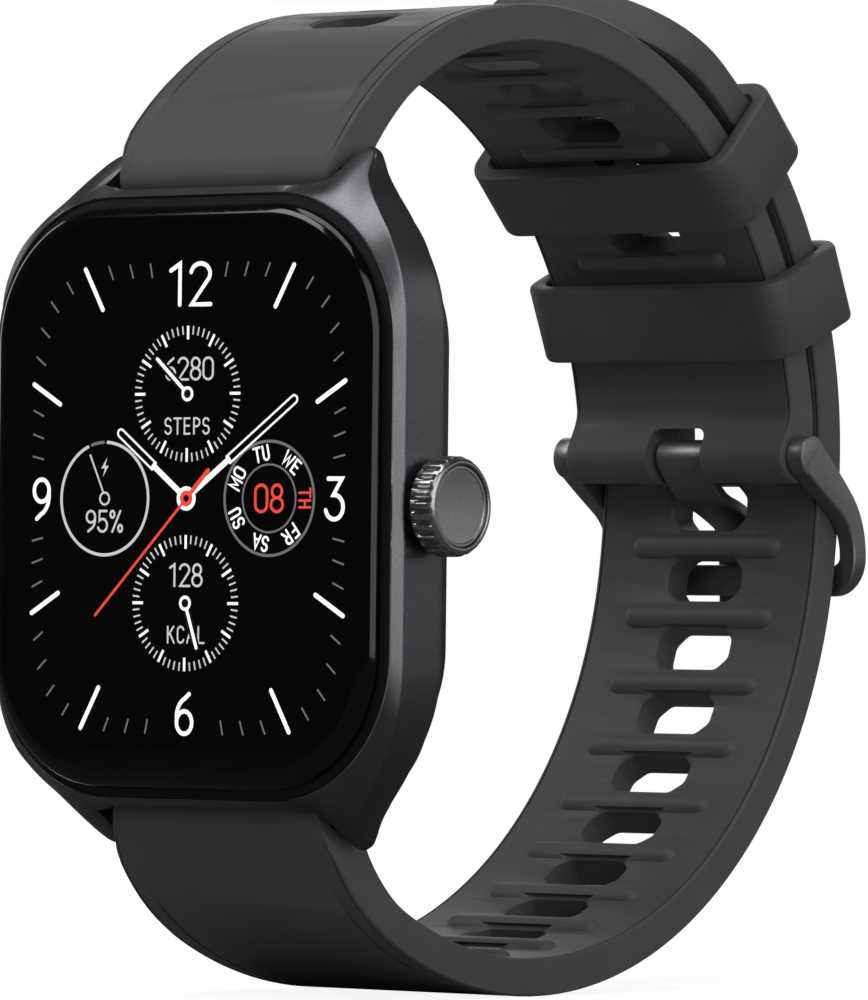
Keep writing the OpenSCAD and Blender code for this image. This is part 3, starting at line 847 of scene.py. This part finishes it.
def build_dial():
    white, soft, grey, red, black, shadow = [], [], [], [], [], []
    white += writing("12", 0.05, 14.95, 2.85, 1.2, 0.31)
    white += writing("6", 0.05, -15.0, 2.8, 1.02, 0.31)
    white += writing("3", 13.2, -0.05, 2.8, 1.02, 0.31)
    white += writing("9", -13.2, -0.05, 2.8, 1.02, 0.31)
    for sx in (-1, 1):
        for sz in (-1, 1):
            white += strip([(sx * 7.77, sz * 13.28), (sx * 9.38, sz * 16.13)], 0.34)
            white += strip([(sx * 11.58, sz * 6.66), (sx * 14.0, sz * 8.08)], 0.34)
    for minute in range(60):
        angle = minute * 6
        near_number = min(angle % 90, 90 - angle % 90) <= 6
        if minute % 5 and not near_number:
            reach = track(angle)
            grey += radial((0, 0), angle, reach - 1.05, reach, 0.13)
    for s in (1, -1):
        hub = (0, s * HUB_Z)
        for k in range(60):
            big = k % 5 == 0
            inner = TICK_R - (0.95 if big else 0.6)
            (white if big else soft).extend(radial(hub, k * 6, inner, TICK_R, 0.2 if big else 0.12))
        black += disc(hub, 0.3)
    soft += writing("6280", 0.15, HUB_Z + 1.75, 1.5, 1.12, 0.17)
    soft += writing("128", 0, -HUB_Z + 1.95, 1.5, 1.12, 0.17)
    soft += writing("STEPS", 0, HUB_Z - 2.25, 1.08, 1.18, 0.14)
    soft += writing("KCAL", 0.1, -HUB_Z - 2.2, 1.12, 1.22, 0.14)
    for z, dx, dz in ((HUB_Z, -2.75, 2.45), (-HUB_Z, 1.05, -3.1)):
        u = Vector((dx, dz)).normalized()
        pointer = [Vector((0, z)) + u * 0.4, Vector((dx, z + dz))]
        shadow += strip(pointer, 0.66)
        white += strip(pointer, 0.26)
        white += hoop(0, z, 0.42, 0.22)
    # Battery gauge on the left
    soft += strip(arc((-HUB_X, 0), RING_R, RING_R, 88, -248, 72), 0.22, ends=False)
    grey += strip(arc((-HUB_X, 0), RING_R, RING_R, 91, 109, 8), 0.22, ends=False)
    soft += strip([(-HUB_X - 0.12, 0.42), (-HUB_X - 1.35, 3.05)], 0.14)
    soft += hoop(-HUB_X, 0, 0.42, 0.15)
    soft += bolt(-HUB_X, 2.2, 0.68)
    soft += writing("95%", -HUB_X, -1.6, 1.45, 1.12, 0.17)
    # Date with the weekdays round it
    grey += hoop(HUB_X, 0, RING_R, 0.2, 72)
    grey += hoop(HUB_X, 0, 2.35, 0.14, 56)
    red += writing("08", HUB_X, 0, 1.85, 1.12, 0.22)
    for k, day in enumerate(("TH", "WE", "TU", "MO", "SU", "SA", "FR")):
        middle = 360 * k / 7
        p = Vector((HUB_X, 0)) + unit(middle) * DAY_R
        (red if k == 0 else white).extend(writing(day, p.x, p.y, 0.98, 1.16, 0.17, middle - 90))
    for angle, neck, tip in ((-52.5, 3.7, 7.8), (54.3, 4.6, 12.0)):
        blade, stem = hand(angle, neck, tip, 0.56)
        white += blade + stem
    white += disc((0, 0), 0.85)
    second = Vector((-8.15, -8.2))
    red += strip([-second.normalized() * 2.75, (0, 0)], 0.34)
    red += strip([(0, 0), second], 0.2)
    red += disc((0, 0), 0.56)
    mark("dial_grey_marks", grey, GREY_LIT, 0)
    mark("dial_soft_marks", soft, SOFT_LIT, 1)
    mark("dial_hand_borders", shadow, BLACK_INK, 2)
    mark("dial_white_marks", white, WHITE_LIT, 3)
    mark("dial_red_marks", red, RED_LIT, 4)
    mark("dial_hub_dots", black + disc((0, 0), 0.24), BLACK_INK, 5)


# ---- band

HALF_W, HALF_T, GROOVE = BAND_W / 2, BAND_T / 2, 0.24


def band_ring(d, top, bottom, half_w, groove, line=1.0):
    """Closed cross-section of a band at a distance d, with its two moulded lines and soft edges."""
    k = half_w / HALF_W
    e = min(1.0, top - bottom)
    cut = 0.22 * line
    rows = [
        (8.28, top), (8.36, top - groove), (8.46, top - groove), (8.54, top), (9.58, top),
        (9.64, top - cut), (9.72, top - cut), (9.78, top - 0.02 * e), (9.92, top - 0.06 * e),
        (10, top - 0.16 * e), (10, bottom + 0.16 * e), (9.92, bottom + 0.06 * e),
        (9.78, bottom + 0.02 * e), (9.7, bottom + cut), (9.62, bottom + cut), (9.56, bottom),
    ]
    half = [(x * k, d, h) for x, h in rows]
    return half + [(-x, d, h) for x, d, h in reversed(half)]


def root_rings():
    """Round end of a band at its spring bar."""
    r, corner = HALF_T + ROOT_EXTRA, 0.8
    rings = []
    for i in range(1, 10):
        a = unit(90 - 10 * i)
        d = -r * a.y
        over = max(0.0, (-d - (r - corner)) / corner)
        half_w = root_width(d) - corner * (1 - math.sqrt(max(0.0, 1 - over * over)))
        rings.append(band_ring(d, max(0.1, r * a.x), -max(0.1, r * a.x), half_w, 0.0, 0.0))
    return rings


def body_ring(d):
    t = HALF_T + ROOT_EXTRA * max(0.0, 1 - d / ROOT_FADE)
    return band_ring(d, t, -t, root_width(d), GROOVE * smooth((d - 4) / 5), smooth(d / 3))


def root_width(d):
    """The band narrows a little where it enters the case."""
    return HALF_W - 0.7 * (1 - smooth((d + 1) / 4))


def hole_outline(length, width, grow):
    """Octagonal hole with softened corners, as (x, d) points."""
    a, b, c, soft = length / 2 + grow, width / 2 + grow, 0.95, 0.32
    corners = [(a - c, -b), (a, c - b), (a, b - c), (a - c, b)]
    corners += [(-x, -d) for x, d in corners]
    points = []
    for i, here in enumerate(corners):
        p = Vector(here)
        before, after = Vector(corners[i - 1]), Vector(corners[(i + 1) % 8])
        p0 = p + (before - p).normalized() * soft
        p2 = p + (after - p).normalized() * soft
        points += [p0 * (1 - t) ** 2 + p * 2 * t * (1 - t) + p2 * t * t for t in (0, 0.33, 0.67, 1)]
    return points


def hole_cutters(first, count):
    """Through holes with flared rims, in flat band coordinates."""
    flare, past = 0.2, 0.3
    shapes = []
    for i in range(count):
        d = first + i * HOLE_PITCH
        rings = []
        wide, narrow = (HALF_T + past, flare + past), (HALF_T - flare, 0)
        for side, (h, grow) in ((-1, wide), (-1, narrow), (1, narrow), (1, wide)):
            rings.append([(p.x, d + p.y, side * h) for p in hole_outline(HOLE_L, HOLE_W, grow)])
        shapes.append(loft(rings))
    return merged(*shapes)


def rib_shapes(first, count):
    """Low rounded ribs across the inner face."""
    shapes = []
    rise = RIB_R - RIB_H
    for i in range(count + 1):
        d = first + (i - 0.5) * HOLE_PITCH - RIB_SHIFT
        rings = []
        for x, r in capsule_profile(RIB_L / 2, RIB_R):
            rings.append(
                [(x, d + unit(15 * k).x * r, -HALF_T + rise + unit(15 * k).y * r) for k in range(24)]
            )
        shapes.append(loft(rings))
    return merged(*shapes)


def capsule_profile(half, r):
    """(x, radius) stations of a rod with round ends."""
    turn = [unit(a) for a in range(5, 91, 17)]
    ends = [(half - r + r * a.x, r * a.y) for a in turn]
    return [(-x, q) for x, q in ends] + [(x, q) for x, q in reversed(ends)]


def bend_onto(obj, path, out):
    """Bends a flat mesh onto its path."""
    for v in obj.data.vertices:
        x, d, h = v.co / MM
        v.co = Vector(on_path(path, out, x, d, h)) * MM


def finish_root(obj, s):
    """Bore for the spring bar, and the window of its quick-release lever."""
    z = s * BAR_Z
    cut(obj, rod_x(11, 0.79, BAR_Y, z))
    cut(obj, box_shape((3.4, BAR_Y, z - 0.5), (7.0, BAR_Y + 6, z + 0.5)))


def build_upper_strap():
    end = UPPER_LEN
    rings = root_rings() + [body_ring(d) for d in range(1, 67)]
    for i in range(1, 17):
        d = lerp(66, end, i / 16)
        top = HALF_T - (HALF_T - BARREL_R + BAR_IN) * smooth((d - end + 3) / 3)
        bottom = -HALF_T - (BAR_IN + BARREL_R - HALF_T) * smooth((d - end + 3.8) / 3.8)
        fade = 1 - smooth((d - end + 5) / 4)
        rings.append(band_ring(d, top, bottom, HALF_W, GROOVE * fade, fade))
    for i in range(1, 12):
        a = unit(8 * i)
        t = BARREL_R * a.x
        rings.append(band_ring(end + BARREL_R * a.y, t - BAR_IN, -t - BAR_IN, HALF_W, 0, 0))
    obj = make("upper_strap_rubber", loft(rings))
    boolean(obj, make("ribs", rib_shapes(UPPER_FIRST, UPPER_HOLES)), "UNION")
    cut(obj, hole_cutters(UPPER_FIRST, UPPER_HOLES))
    notch = [(x, d) for x, d in rounded_rect(NOTCH_W / 2, 3.9, 0.8, 6)]
    prism = loft([[(x, end + 1.6 + d, h) for x, d in notch] for h in (-4.5, 3)])
    cut(obj, prism)
    bend_onto(obj, UPPER, 1)
    finish_root(obj, 1)
    cut(obj, rod_x(11, PIN_R + 0.02, *BAR_AT))
    shade(obj, STRAP, 38)
    attach(obj, "band", "silicone", "upper_strap")


def build_lower_strap():
    straight_end = int(LOWER_LEN - HALF_W)
    rings = root_rings() + [body_ring(d) for d in range(1, straight_end + 1)]
    start = LOWER_LEN - HALF_W
    for i in range(0, 22):
        a = unit(4 * i)
        soften = 0.25 * smooth((4 * i - 60) / 28)
        t, fade = HALF_T - soften, 1 - i / 22
        rings.append(band_ring(start + HALF_W * a.y, t, -t, HALF_W * a.x, GROOVE * fade, fade))
    obj = make("lower_strap_rubber", loft(rings))
    boolean(obj, make("ribs", rib_shapes(LOWER_FIRST, LOWER_HOLES)), "UNION")
    cut(obj, hole_cutters(LOWER_FIRST, LOWER_HOLES))
    bend_onto(obj, LOWER, -1)
    finish_root(obj, -1)
    shade(obj, STRAP, 38)
    attach(obj, "band", "silicone", "lower_strap")


def build_keeper(name, d, body, node):
    """Loop round both layers of the band, with softened edges."""
    low, high, inner_w = -HALF_T - 0.75, BAND_T * 1.5 + 1.25, HALF_W + 0.5
    mid, half_h = (low + high) / 2, (high - low) / 2
    half = KEEPER_W / 2
    rings = []
    soft = 0.28
    for wall, back, grow in (
        (1, -half + soft, 0), (1, half - soft, 0), (1, half - 0.08, -0.08), (1, half, -soft),
        (0, half, soft), (0, half - 0.08, 0.08), (0, half - soft, 0), (0, -half + soft, 0),
        (0, -half + 0.08, 0.08), (0, -half, soft), (1, -half, -soft), (1, -half + 0.08, -0.08),
    ):
        out = wall * KEEPER_T + grow
        r = (2.4 if wall else 1.1) + grow
        outline = rounded_rect(inner_w + out, half_h + out, r, 12)
        rings.append([(x, back, mid + h) for x, h in outline])
    obj = make(name, loft(rings, loop=True))
    p, heading = UPPER.at(d)
    for v in obj.data.vertices:
        x, s, h = v.co / MM
        q = p + unit(heading) * s + left(heading) * h
        v.co = Vector((x, q.x, q.y)) * MM
    shade(obj, KEEPER, 30)
    attach(obj, body, "keeper_silicone", node)


# ---- buckle

ARM_PATH = Path(BAR_AT, -38, [[200, -1.5], [5.2, -50], [200, -1.5]])
ARM_LEN = 200 * math.radians(1.5) + 5.2 * math.radians(50) + 1.8
TONGUE_PATH = Path(BAR_AT, -52, [[200, -0.86], [2.5, 27.9], [200, -1], [2, -61], [200, -1]])
TONGUE_LEN = 200 * math.radians(2.86) + 2.5 * math.radians(27.9) + 2 * math.radians(61) + 2.8
BOSS_R, CROSS_H, TONGUE_T, ARM_SIDE = 1.35, 2.3, 0.45, 10.1
PIN_HALF = ARM_IN + ARM_T - 0.4


def sweep(rows, soft):
    """Solid along stations of (x, d, direction in degrees, half width, half thickness)."""
    rings = []
    for x, d, angle, w, t in rows:
        n = left(angle)
        ring = [(x + n.x * a, d + n.y * a, h) for a, h in rounded_rect(w, t, min(soft, t * 0.9), 5)]
        rings.append(ring)
    return loft(rings)


def collar(x0, x1, r, soft=0.2):
    """Short round barrel on the buckle's bar."""
    y, z = BAR_AT
    profile = [(x0, r - soft), (x0 + 0.06, r - 0.06), (x0 + soft, r), (x1 - soft, r), (x1 - 0.06, r - 0.06)]
    return make("collar", loft(turned_x(profile + [(x1, r - soft)], y, z, 48)))


def build_buckle():
    outer_x = ARM_IN + ARM_T
    mid_x, turn_r = (ARM_SIDE + outer_x) / 2, 1.75
    arm, cross = (outer_x - ARM_SIDE) / 2, CROSS_H / 2
    half = []
    straight = ARM_LEN - turn_r
    for i in range(15):
        d = straight * i / 14
        half.append((mid_x, d, 90, arm, lerp(BOSS_R + 0.05, 0.78, smooth(d / straight))))
    for i in range(1, 10):
        a = 10 * i
        centre = Vector((mid_x - turn_r, straight))
        p = centre + unit(a) * turn_r
        half.append((p.x, p.y, 90 + a, lerp(arm, cross, smooth(a / 90)), lerp(0.78, 0.66, smooth(a / 90))))
    rows = half + [(0, ARM_LEN, 180, cross, 0.66)]
    rows += [(-x, d, 360 - angle, w, t) for x, d, angle, w, t in reversed(half)]
    obj = make("buckle_frame_metal", sweep(rows, 0.2))
    bend_onto(obj, ARM_PATH, 1)
    for s in (1, -1):
        ends = sorted((s * ARM_SIDE, s * outer_x))
        boolean(obj, collar(*ends, BOSS_R + 0.2), "UNION")
    cut(obj, rod_x(PIN_HALF + 0.05, PIN_R + 0.05, *BAR_AT))
    shade(obj, BUCKLE_METAL, 36)
    attach(obj, "buckle", "buckle_metal", "buckle_frame")

    w = TONGUE_W / 2
    rows = [(0, TONGUE_LEN * i / 24, 90, w, TONGUE_T) for i in range(24)]
    for over in (0.0, 0.3, 0.5):
        round_w = w - 0.5 + math.sqrt(0.25 - over * over)
        rows.append((0, TONGUE_LEN - 0.5 + over, 90, round_w, TONGUE_T - over * 0.2))
    obj = make("buckle_tongue_metal", sweep(rows, 0.2))
    for v in obj.data.vertices:
        v.co.z -= (BOSS_R - 0.05 - TONGUE_T) * MM * (1 - smooth(v.co.y / MM / 6))
    bend_onto(obj, TONGUE_PATH, 1)
    boolean(obj, collar(-w, w, BOSS_R - 0.05), "UNION")
    cut(obj, rod_x(PIN_HALF + 0.05, PIN_R + 0.05, *BAR_AT))
    shade(obj, BUCKLE_METAL, 36)
    attach(obj, "tongue", "buckle_metal", "buckle_tongue")

    half = PIN_HALF
    y, z = BAR_AT
    ends = [(half, PIN_R - 0.25), (half - 0.06, PIN_R - 0.08), (half - 0.25, PIN_R)]
    profile = [(-x, r) for x, r in ends] + list(reversed(ends))
    obj = make("buckle_pin", loft(turned_x(profile, y, z, 32)))
    shade(obj, BUCKLE_METAL, 30)
    attach(obj, "band", "buckle_metal", "buckle_bar")


# ---- crown


def build_crown():
    x0, x1, r = KNOB_X, KNOB_X + KNOB_T, CROWN_R
    stations = [
        (x0, 2.2, 0), (x0, 2.95, 0), (x0 + 0.08, r - 0.28, 0), (x0 + 0.25, r - 0.08, 0.6), (x0 + 0.42, r, 1),
        (x0 + 0.9, r, 1), (x1 - 0.75, r, 1), (x1 - 0.55, r - 0.01, 1), (x1 - 0.4, r - 0.05, 0.6),
        (x1 - 0.27, r - 0.12, 0.12), (x1 - 0.18, r - 0.19, 0), (x1 - 0.06, r - 0.3, 0), (x1, r - 0.42, 0),
        (x1, r - 0.52, 0), (x1 - 0.05, r - 0.6, 0), (x1 - 0.42, r - 0.62, 0), (x1 - 0.42, 0.6, 0),
    ]
    per_flute = 14
    sides = FLUTES * per_flute
    rings = []
    for x, radius, flute in stations:
        ring = []
        for i in range(sides):
            phase = i / per_flute % 1
            groove = max(0.0, 1 - (abs(phase - 0.5) / 0.3) ** 2)
            a = unit(360 * i / sides)
            q = radius - 0.36 * flute * groove
            ring.append((x, CROWN_Y + a.x * q, CROWN_Z + a.y * q))
        rings.append(ring)
    obj = make("crown_knob_metal", loft(rings))
    for s, depth, radius in ((1, 0.35, 2.02), (2, 1.2, 1.01)):
        bore = turned_x([(x0 - 1, radius), (x0 + depth, radius)], CROWN_Y, CROWN_Z, 48)
        cut(obj, loft(bore))
    shade(obj, CROWN_METAL, 34)
    attach(obj, "crown", "crown_metal", "crown_knob")
    base = x1 - 0.41
    profile = [
        (base, 2.78), (base + 0.2, 2.78), (base + 0.27, 2.72), (base + 0.27, 2.56), (base + 0.2, 2.5),
        (base + 0.17, 1.8), (base + 0.15, 0.9), (base + 0.145, 0.1),
    ]
    cap = make("crown_cap_disc", loft(turned_x(profile, CROWN_Y, CROWN_Z, 72)))
    shade(cap, CAP_METAL, 40)
    attach(cap, "crown", "crown_metal", "crown_cap")


# ---- back


DOME_RISE, DOME_R = 0.22, 8.85
SCREW_X, SCREW_Z, CONTACT_X, CONTACT_Z = 11.2, 13.6, 3, -13.2


def build_back():
    """Cover with a domed sensor window, its optics, and openings for contacts and screws."""
    y0 = -2.2
    stations = [(y0, 0.06), (y0 + 0.06, 0), (-1.3, 0), (-1.1, 0.05), (-0.9, 0.2), (-0.6, 0.55), (-0.4, 0.95),
                (-0.32, 1.3), (-0.3, 1.6)]
    cover = make("back_cover_shell", loft(block_rings(16.7, 19.3, 9, stations, 22)))
    cut(cover, loft(turned_y([(-4, 9.06), (-0.5, 9.06), (-0.2, 9.4), (0.3, 9.4)], 96)))
    for s in (-1, 1):
        cut(cover, post(CONTACT_X * s, CONTACT_Z, -4, 1.06))
    for sx in (-1, 1):
        for sz in (-1, 1):
            cut(cover, post(SCREW_X * sx, SCREW_Z * sz, -4, 0.75))
            cut(cover, post(SCREW_X * sx, SCREW_Z * sz, -1, 1.36))
    shade(cover, BACK_PLASTIC, 34)
    attach(cover, "case", "back_plastic", "back_cover")
    rim = [(y0, 9.0), (-0.42, 9.0), (-0.3, 8.96), (-DOME_RISE, DOME_R)]
    dome = [(dome_y(r), r) for r in (8.3, 7, 5.5, 4, 2.5, 1.2, 0.2)]
    window = make("sensor_window_glass", loft(turned_y(rim + dome, 96)))
    shade(window, WINDOW, 30)
    attach(window, "case", "sensor_window", "sensor_window")
    for i in range(4):
        p = unit(45 + 90 * i) * 4.9
        inlay("photodiode_%d" % i, p.x, p.y, 1.35, DIODE)
        q = unit(90 * i) * 2.2
        inlay("emitter_%d" % i, q.x, q.y, 0.62, EMITTER)
    inlay("emitter_middle", 0, 0, 0.7, EMITTER)


def dome_y(r):
    """Height of the sensor window's dome at a radius."""
    return -DOME_RISE * (r / DOME_R) ** 2


def circle_y(x, y, z, r):
    """Points of a circle about an axis along Y."""
    return [(x + unit(a).x * r, y, z + unit(a).y * r) for a in range(0, 360, 10)]


def post(x, z, y0, r):
    """Cylinder along Y, from y0 to outside the back."""
    return loft([circle_y(x, y, z, r) for y in (y0, 1)])


def inlay(name, x, z, r, material):
    """Round optic set into the sensor window's dome."""
    y = dome_y(math.hypot(x, z))
    steps = (-0.06, r), (-0.02, r), (-0.005, r - 0.06)
    obj = make(name, loft([circle_y(x, y + h, z, q) for h, q in steps]))
    shade(obj, material, 40)
    attach(obj, "case", "sensor_window")


# ---- parts that keep their CAD shape


def paint(node, material):
    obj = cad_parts[node]
    obj.data.materials.clear()
    obj.data.materials.append(material)


CAP_METAL = satin_metal("cap_metal", (0.44, 0.445, 0.455), 0.27, grain=0.08)
BACK_PLASTIC = plastic("back_plastic", (0.014, 0.015, 0.017), 0.32)
WINDOW = plastic("sensor_glass", (0.004, 0.004, 0.006), 0.06, 0.01)
DIODE = plastic("photodiode", (0.012, 0.008, 0.02), 0.12, 0.02)
EMITTER = plastic("emitter", (0.02, 0.09, 0.05), 0.2, 0.05)
STEEL = brushed_metal("steel", (0.5, 0.5, 0.49))
GOLD = brushed_metal("gold_contact", (0.72, 0.5, 0.2), 0.25)
FOIL = brushed_metal("battery_foil", (0.55, 0.56, 0.57), 0.42)
SHIELD = brushed_metal("shield", (0.62, 0.62, 0.6), 0.35)
FLEX = plastic("polyimide", (0.42, 0.16, 0.02), 0.35, 0.1, 0.15)
CHASSIS = plastic("chassis", (0.03, 0.03, 0.033), 0.5, 0.4)
PANEL = plastic("display_panel", (0.0006, 0.0006, 0.0007), 0.5, 0.0)
BOARD = board_material("board")


CROWN_STEEL = ["crown_" + part for part in ("tube", "pusher", "stem", "retainer")]
BAR_STEEL = [end + "_bar_" + part for end in ("upper", "lower") for part in ("tube", "plunger", "spring")]


def paint_the_rest():
    for material, slot, nodes in (
        (PANEL, "display", ["display_panel"]),
        (FLEX, "flex", ["display_flex", "antenna"]),
        (CHASSIS, "chassis", ["inner_chassis", "speaker", "crown_switch"]),
        (FOIL, "battery", ["battery"]),
        (BOARD, "board", ["main_board", "sensor_board"]),
        (SHIELD, "shield", ["shield_can"]),
        (SEAL, "seal", ["back_seal", "crown_seal"]),
        (GOLD, "gold_contact", ["charging_contacts"]),
        (STEEL, "steel", ["vibration_motor", "back_screws", *CROWN_STEEL, *BAR_STEEL]),
    ):
        for node in nodes:
            paint(node, material)


# ---- stage, light and camera


def outward(azimuth, elevation):
    """Direction away from the watch; azimuth 0 is in front and 90 on the crown's side."""
    a, e = math.radians(azimuth), math.radians(elevation)
    return Vector((math.sin(a) * math.cos(e), -math.cos(a) * math.cos(e), math.sin(e)))


def softbox(name, azimuth, elevation, distance, width, height, power):
    """Area light on a sphere round the watch, facing it."""
    away = outward(azimuth, elevation)
    data = bpy.data.lights.new(name, "AREA")
    data.shape = "RECTANGLE"
    data.size, data.size_y = width, height
    data.energy = power
    lamp = place(name, data)
    lamp.location = CENTRE + away * distance
    lamp.rotation_mode = "QUATERNION"
    lamp.rotation_quaternion = away.to_track_quat("Z", "Y")


def build_world():
    """White to the eye, dim to the object."""
    world = bpy.data.worlds.new("studio")
    bpy.context.scene.world = world
    world.use_nodes = True
    tree = world.node_tree
    sky = tree.nodes["Background"]
    sky.inputs["Color"].default_value = (1, 1, 1, 1)
    path = tree.nodes.new("ShaderNodeLightPath")
    mix = tree.nodes.new("ShaderNodeMapRange")
    mix.inputs["To Min"].default_value = 0.05
    tree.links.new(path.outputs["Is Camera Ray"], mix.inputs["Value"])
    tree.links.new(mix.outputs["Result"], sky.inputs["Strength"])


def build_floor():
    """Pale floor: white to the eye apart from a soft shadow, grey to soft light, dark to reflections."""
    size, z = 0.35, CAD_LOW.z - 0.00002
    mesh = bpy.data.meshes.new("floor")
    corners = [(-size, -size, z), (size, -size, z), (size, size, z), (-size, size, z)]
    mesh.from_pydata(corners, [], [(0, 1, 2, 3)])
    floor = place("floor", mesh)
    m = Nodes("floor")
    m.set(Base_Color=(0.25, 0.25, 0.25, 1), Roughness=1.0, Specular_IOR_Level=0.0)
    path = m.add("ShaderNodeLightPath").outputs
    away = m.add("ShaderNodeVectorMath", Vector=m.add("ShaderNodeNewGeometry").outputs["Position"])
    away.operation = "DISTANCE"
    away.inputs[1].default_value = (0, CENTRE.y, z)
    glow = m.add("ShaderNodeEmission", Strength=m.span(away.outputs["Value"], 0.9, 1.0, 0.04, 0.2))
    dim = m.add("ShaderNodeBsdfDiffuse", Color=m.span(path["Is Glossy Ray"], 0.5, 0.12, 0, 1))
    both, pick = m.add("ShaderNodeAddShader"), m.add("ShaderNodeMixShader")
    for source, target in (
        (m.bsdf.outputs[0], both.inputs[0]),
        (glow.outputs[0], both.inputs[1]),
        (path["Is Camera Ray"], pick.inputs[0]),
        (dim.outputs[0], pick.inputs[1]),
        (both.outputs[0], pick.inputs[2]),
        (pick.outputs[0], m.tree.nodes["Material Output"].inputs["Surface"]),
    ):
        m.tree.links.new(source, target)
    mesh.materials.append(m.mat)


def build_lights():
    softbox("key_right", 72, 20, 0.6, 0.7, 0.6, 1.9)
    softbox("top_front", 5, 76, 0.6, 0.5, 0.36, 1.35)
    softbox("crown_sparkle", -32, 42, 0.5, 0.22, 0.16, 0.5)
    softbox("left_edge", -92, 10, 0.6, 0.12, 0.5, 0.4)
    softbox("back_right", 140, 12, 0.7, 0.5, 0.3, 0.2)
    softbox("back_left", -150, 25, 0.7, 0.4, 0.4, 1.0)


def build_camera():
    azimuth, elevation, roll = 38.66, -0.85, 0.652
    a, r = math.radians(azimuth), math.radians(roll)
    back = outward(azimuth, elevation)
    right = Vector((math.cos(a), math.sin(a), 0))
    up = back.cross(right)
    side = right * math.cos(r) + up * math.sin(r)
    top = up * math.cos(r) - right * math.sin(r)
    data = bpy.data.cameras.new("camera")
    data.sensor_width = 36
    data.lens = 297.86
    data.shift_x, data.shift_y = 0.0002, 0.0078
    data.clip_start, data.clip_end = 0.01, 20
    camera = place("camera", data)
    rotation = Matrix((side, top, back)).transposed()
    camera.matrix_world = Matrix.Translation(Vector((368.45, -442.32, -9.0)) * MM) @ rotation.to_4x4()
    bpy.context.scene.camera = camera
    bpy.context.scene.view_settings.view_transform = "Standard"


CENTRE = (CAD_LOW + CAD_HIGH) / 2

build_case()
build_glass()
build_rim()
build_seal()
build_dial()
build_upper_strap()
build_lower_strap()
build_keeper("fixed_keeper_loop", FIXED_KEEPER_D, "band", "fixed_keeper")
build_keeper("free_keeper_loop", FREE_KEEPER_D, "sliding_keeper", "free_keeper")
build_buckle()
build_crown()
build_back()
paint_the_rest()
build_world()
build_floor()
build_lights()
build_camera()
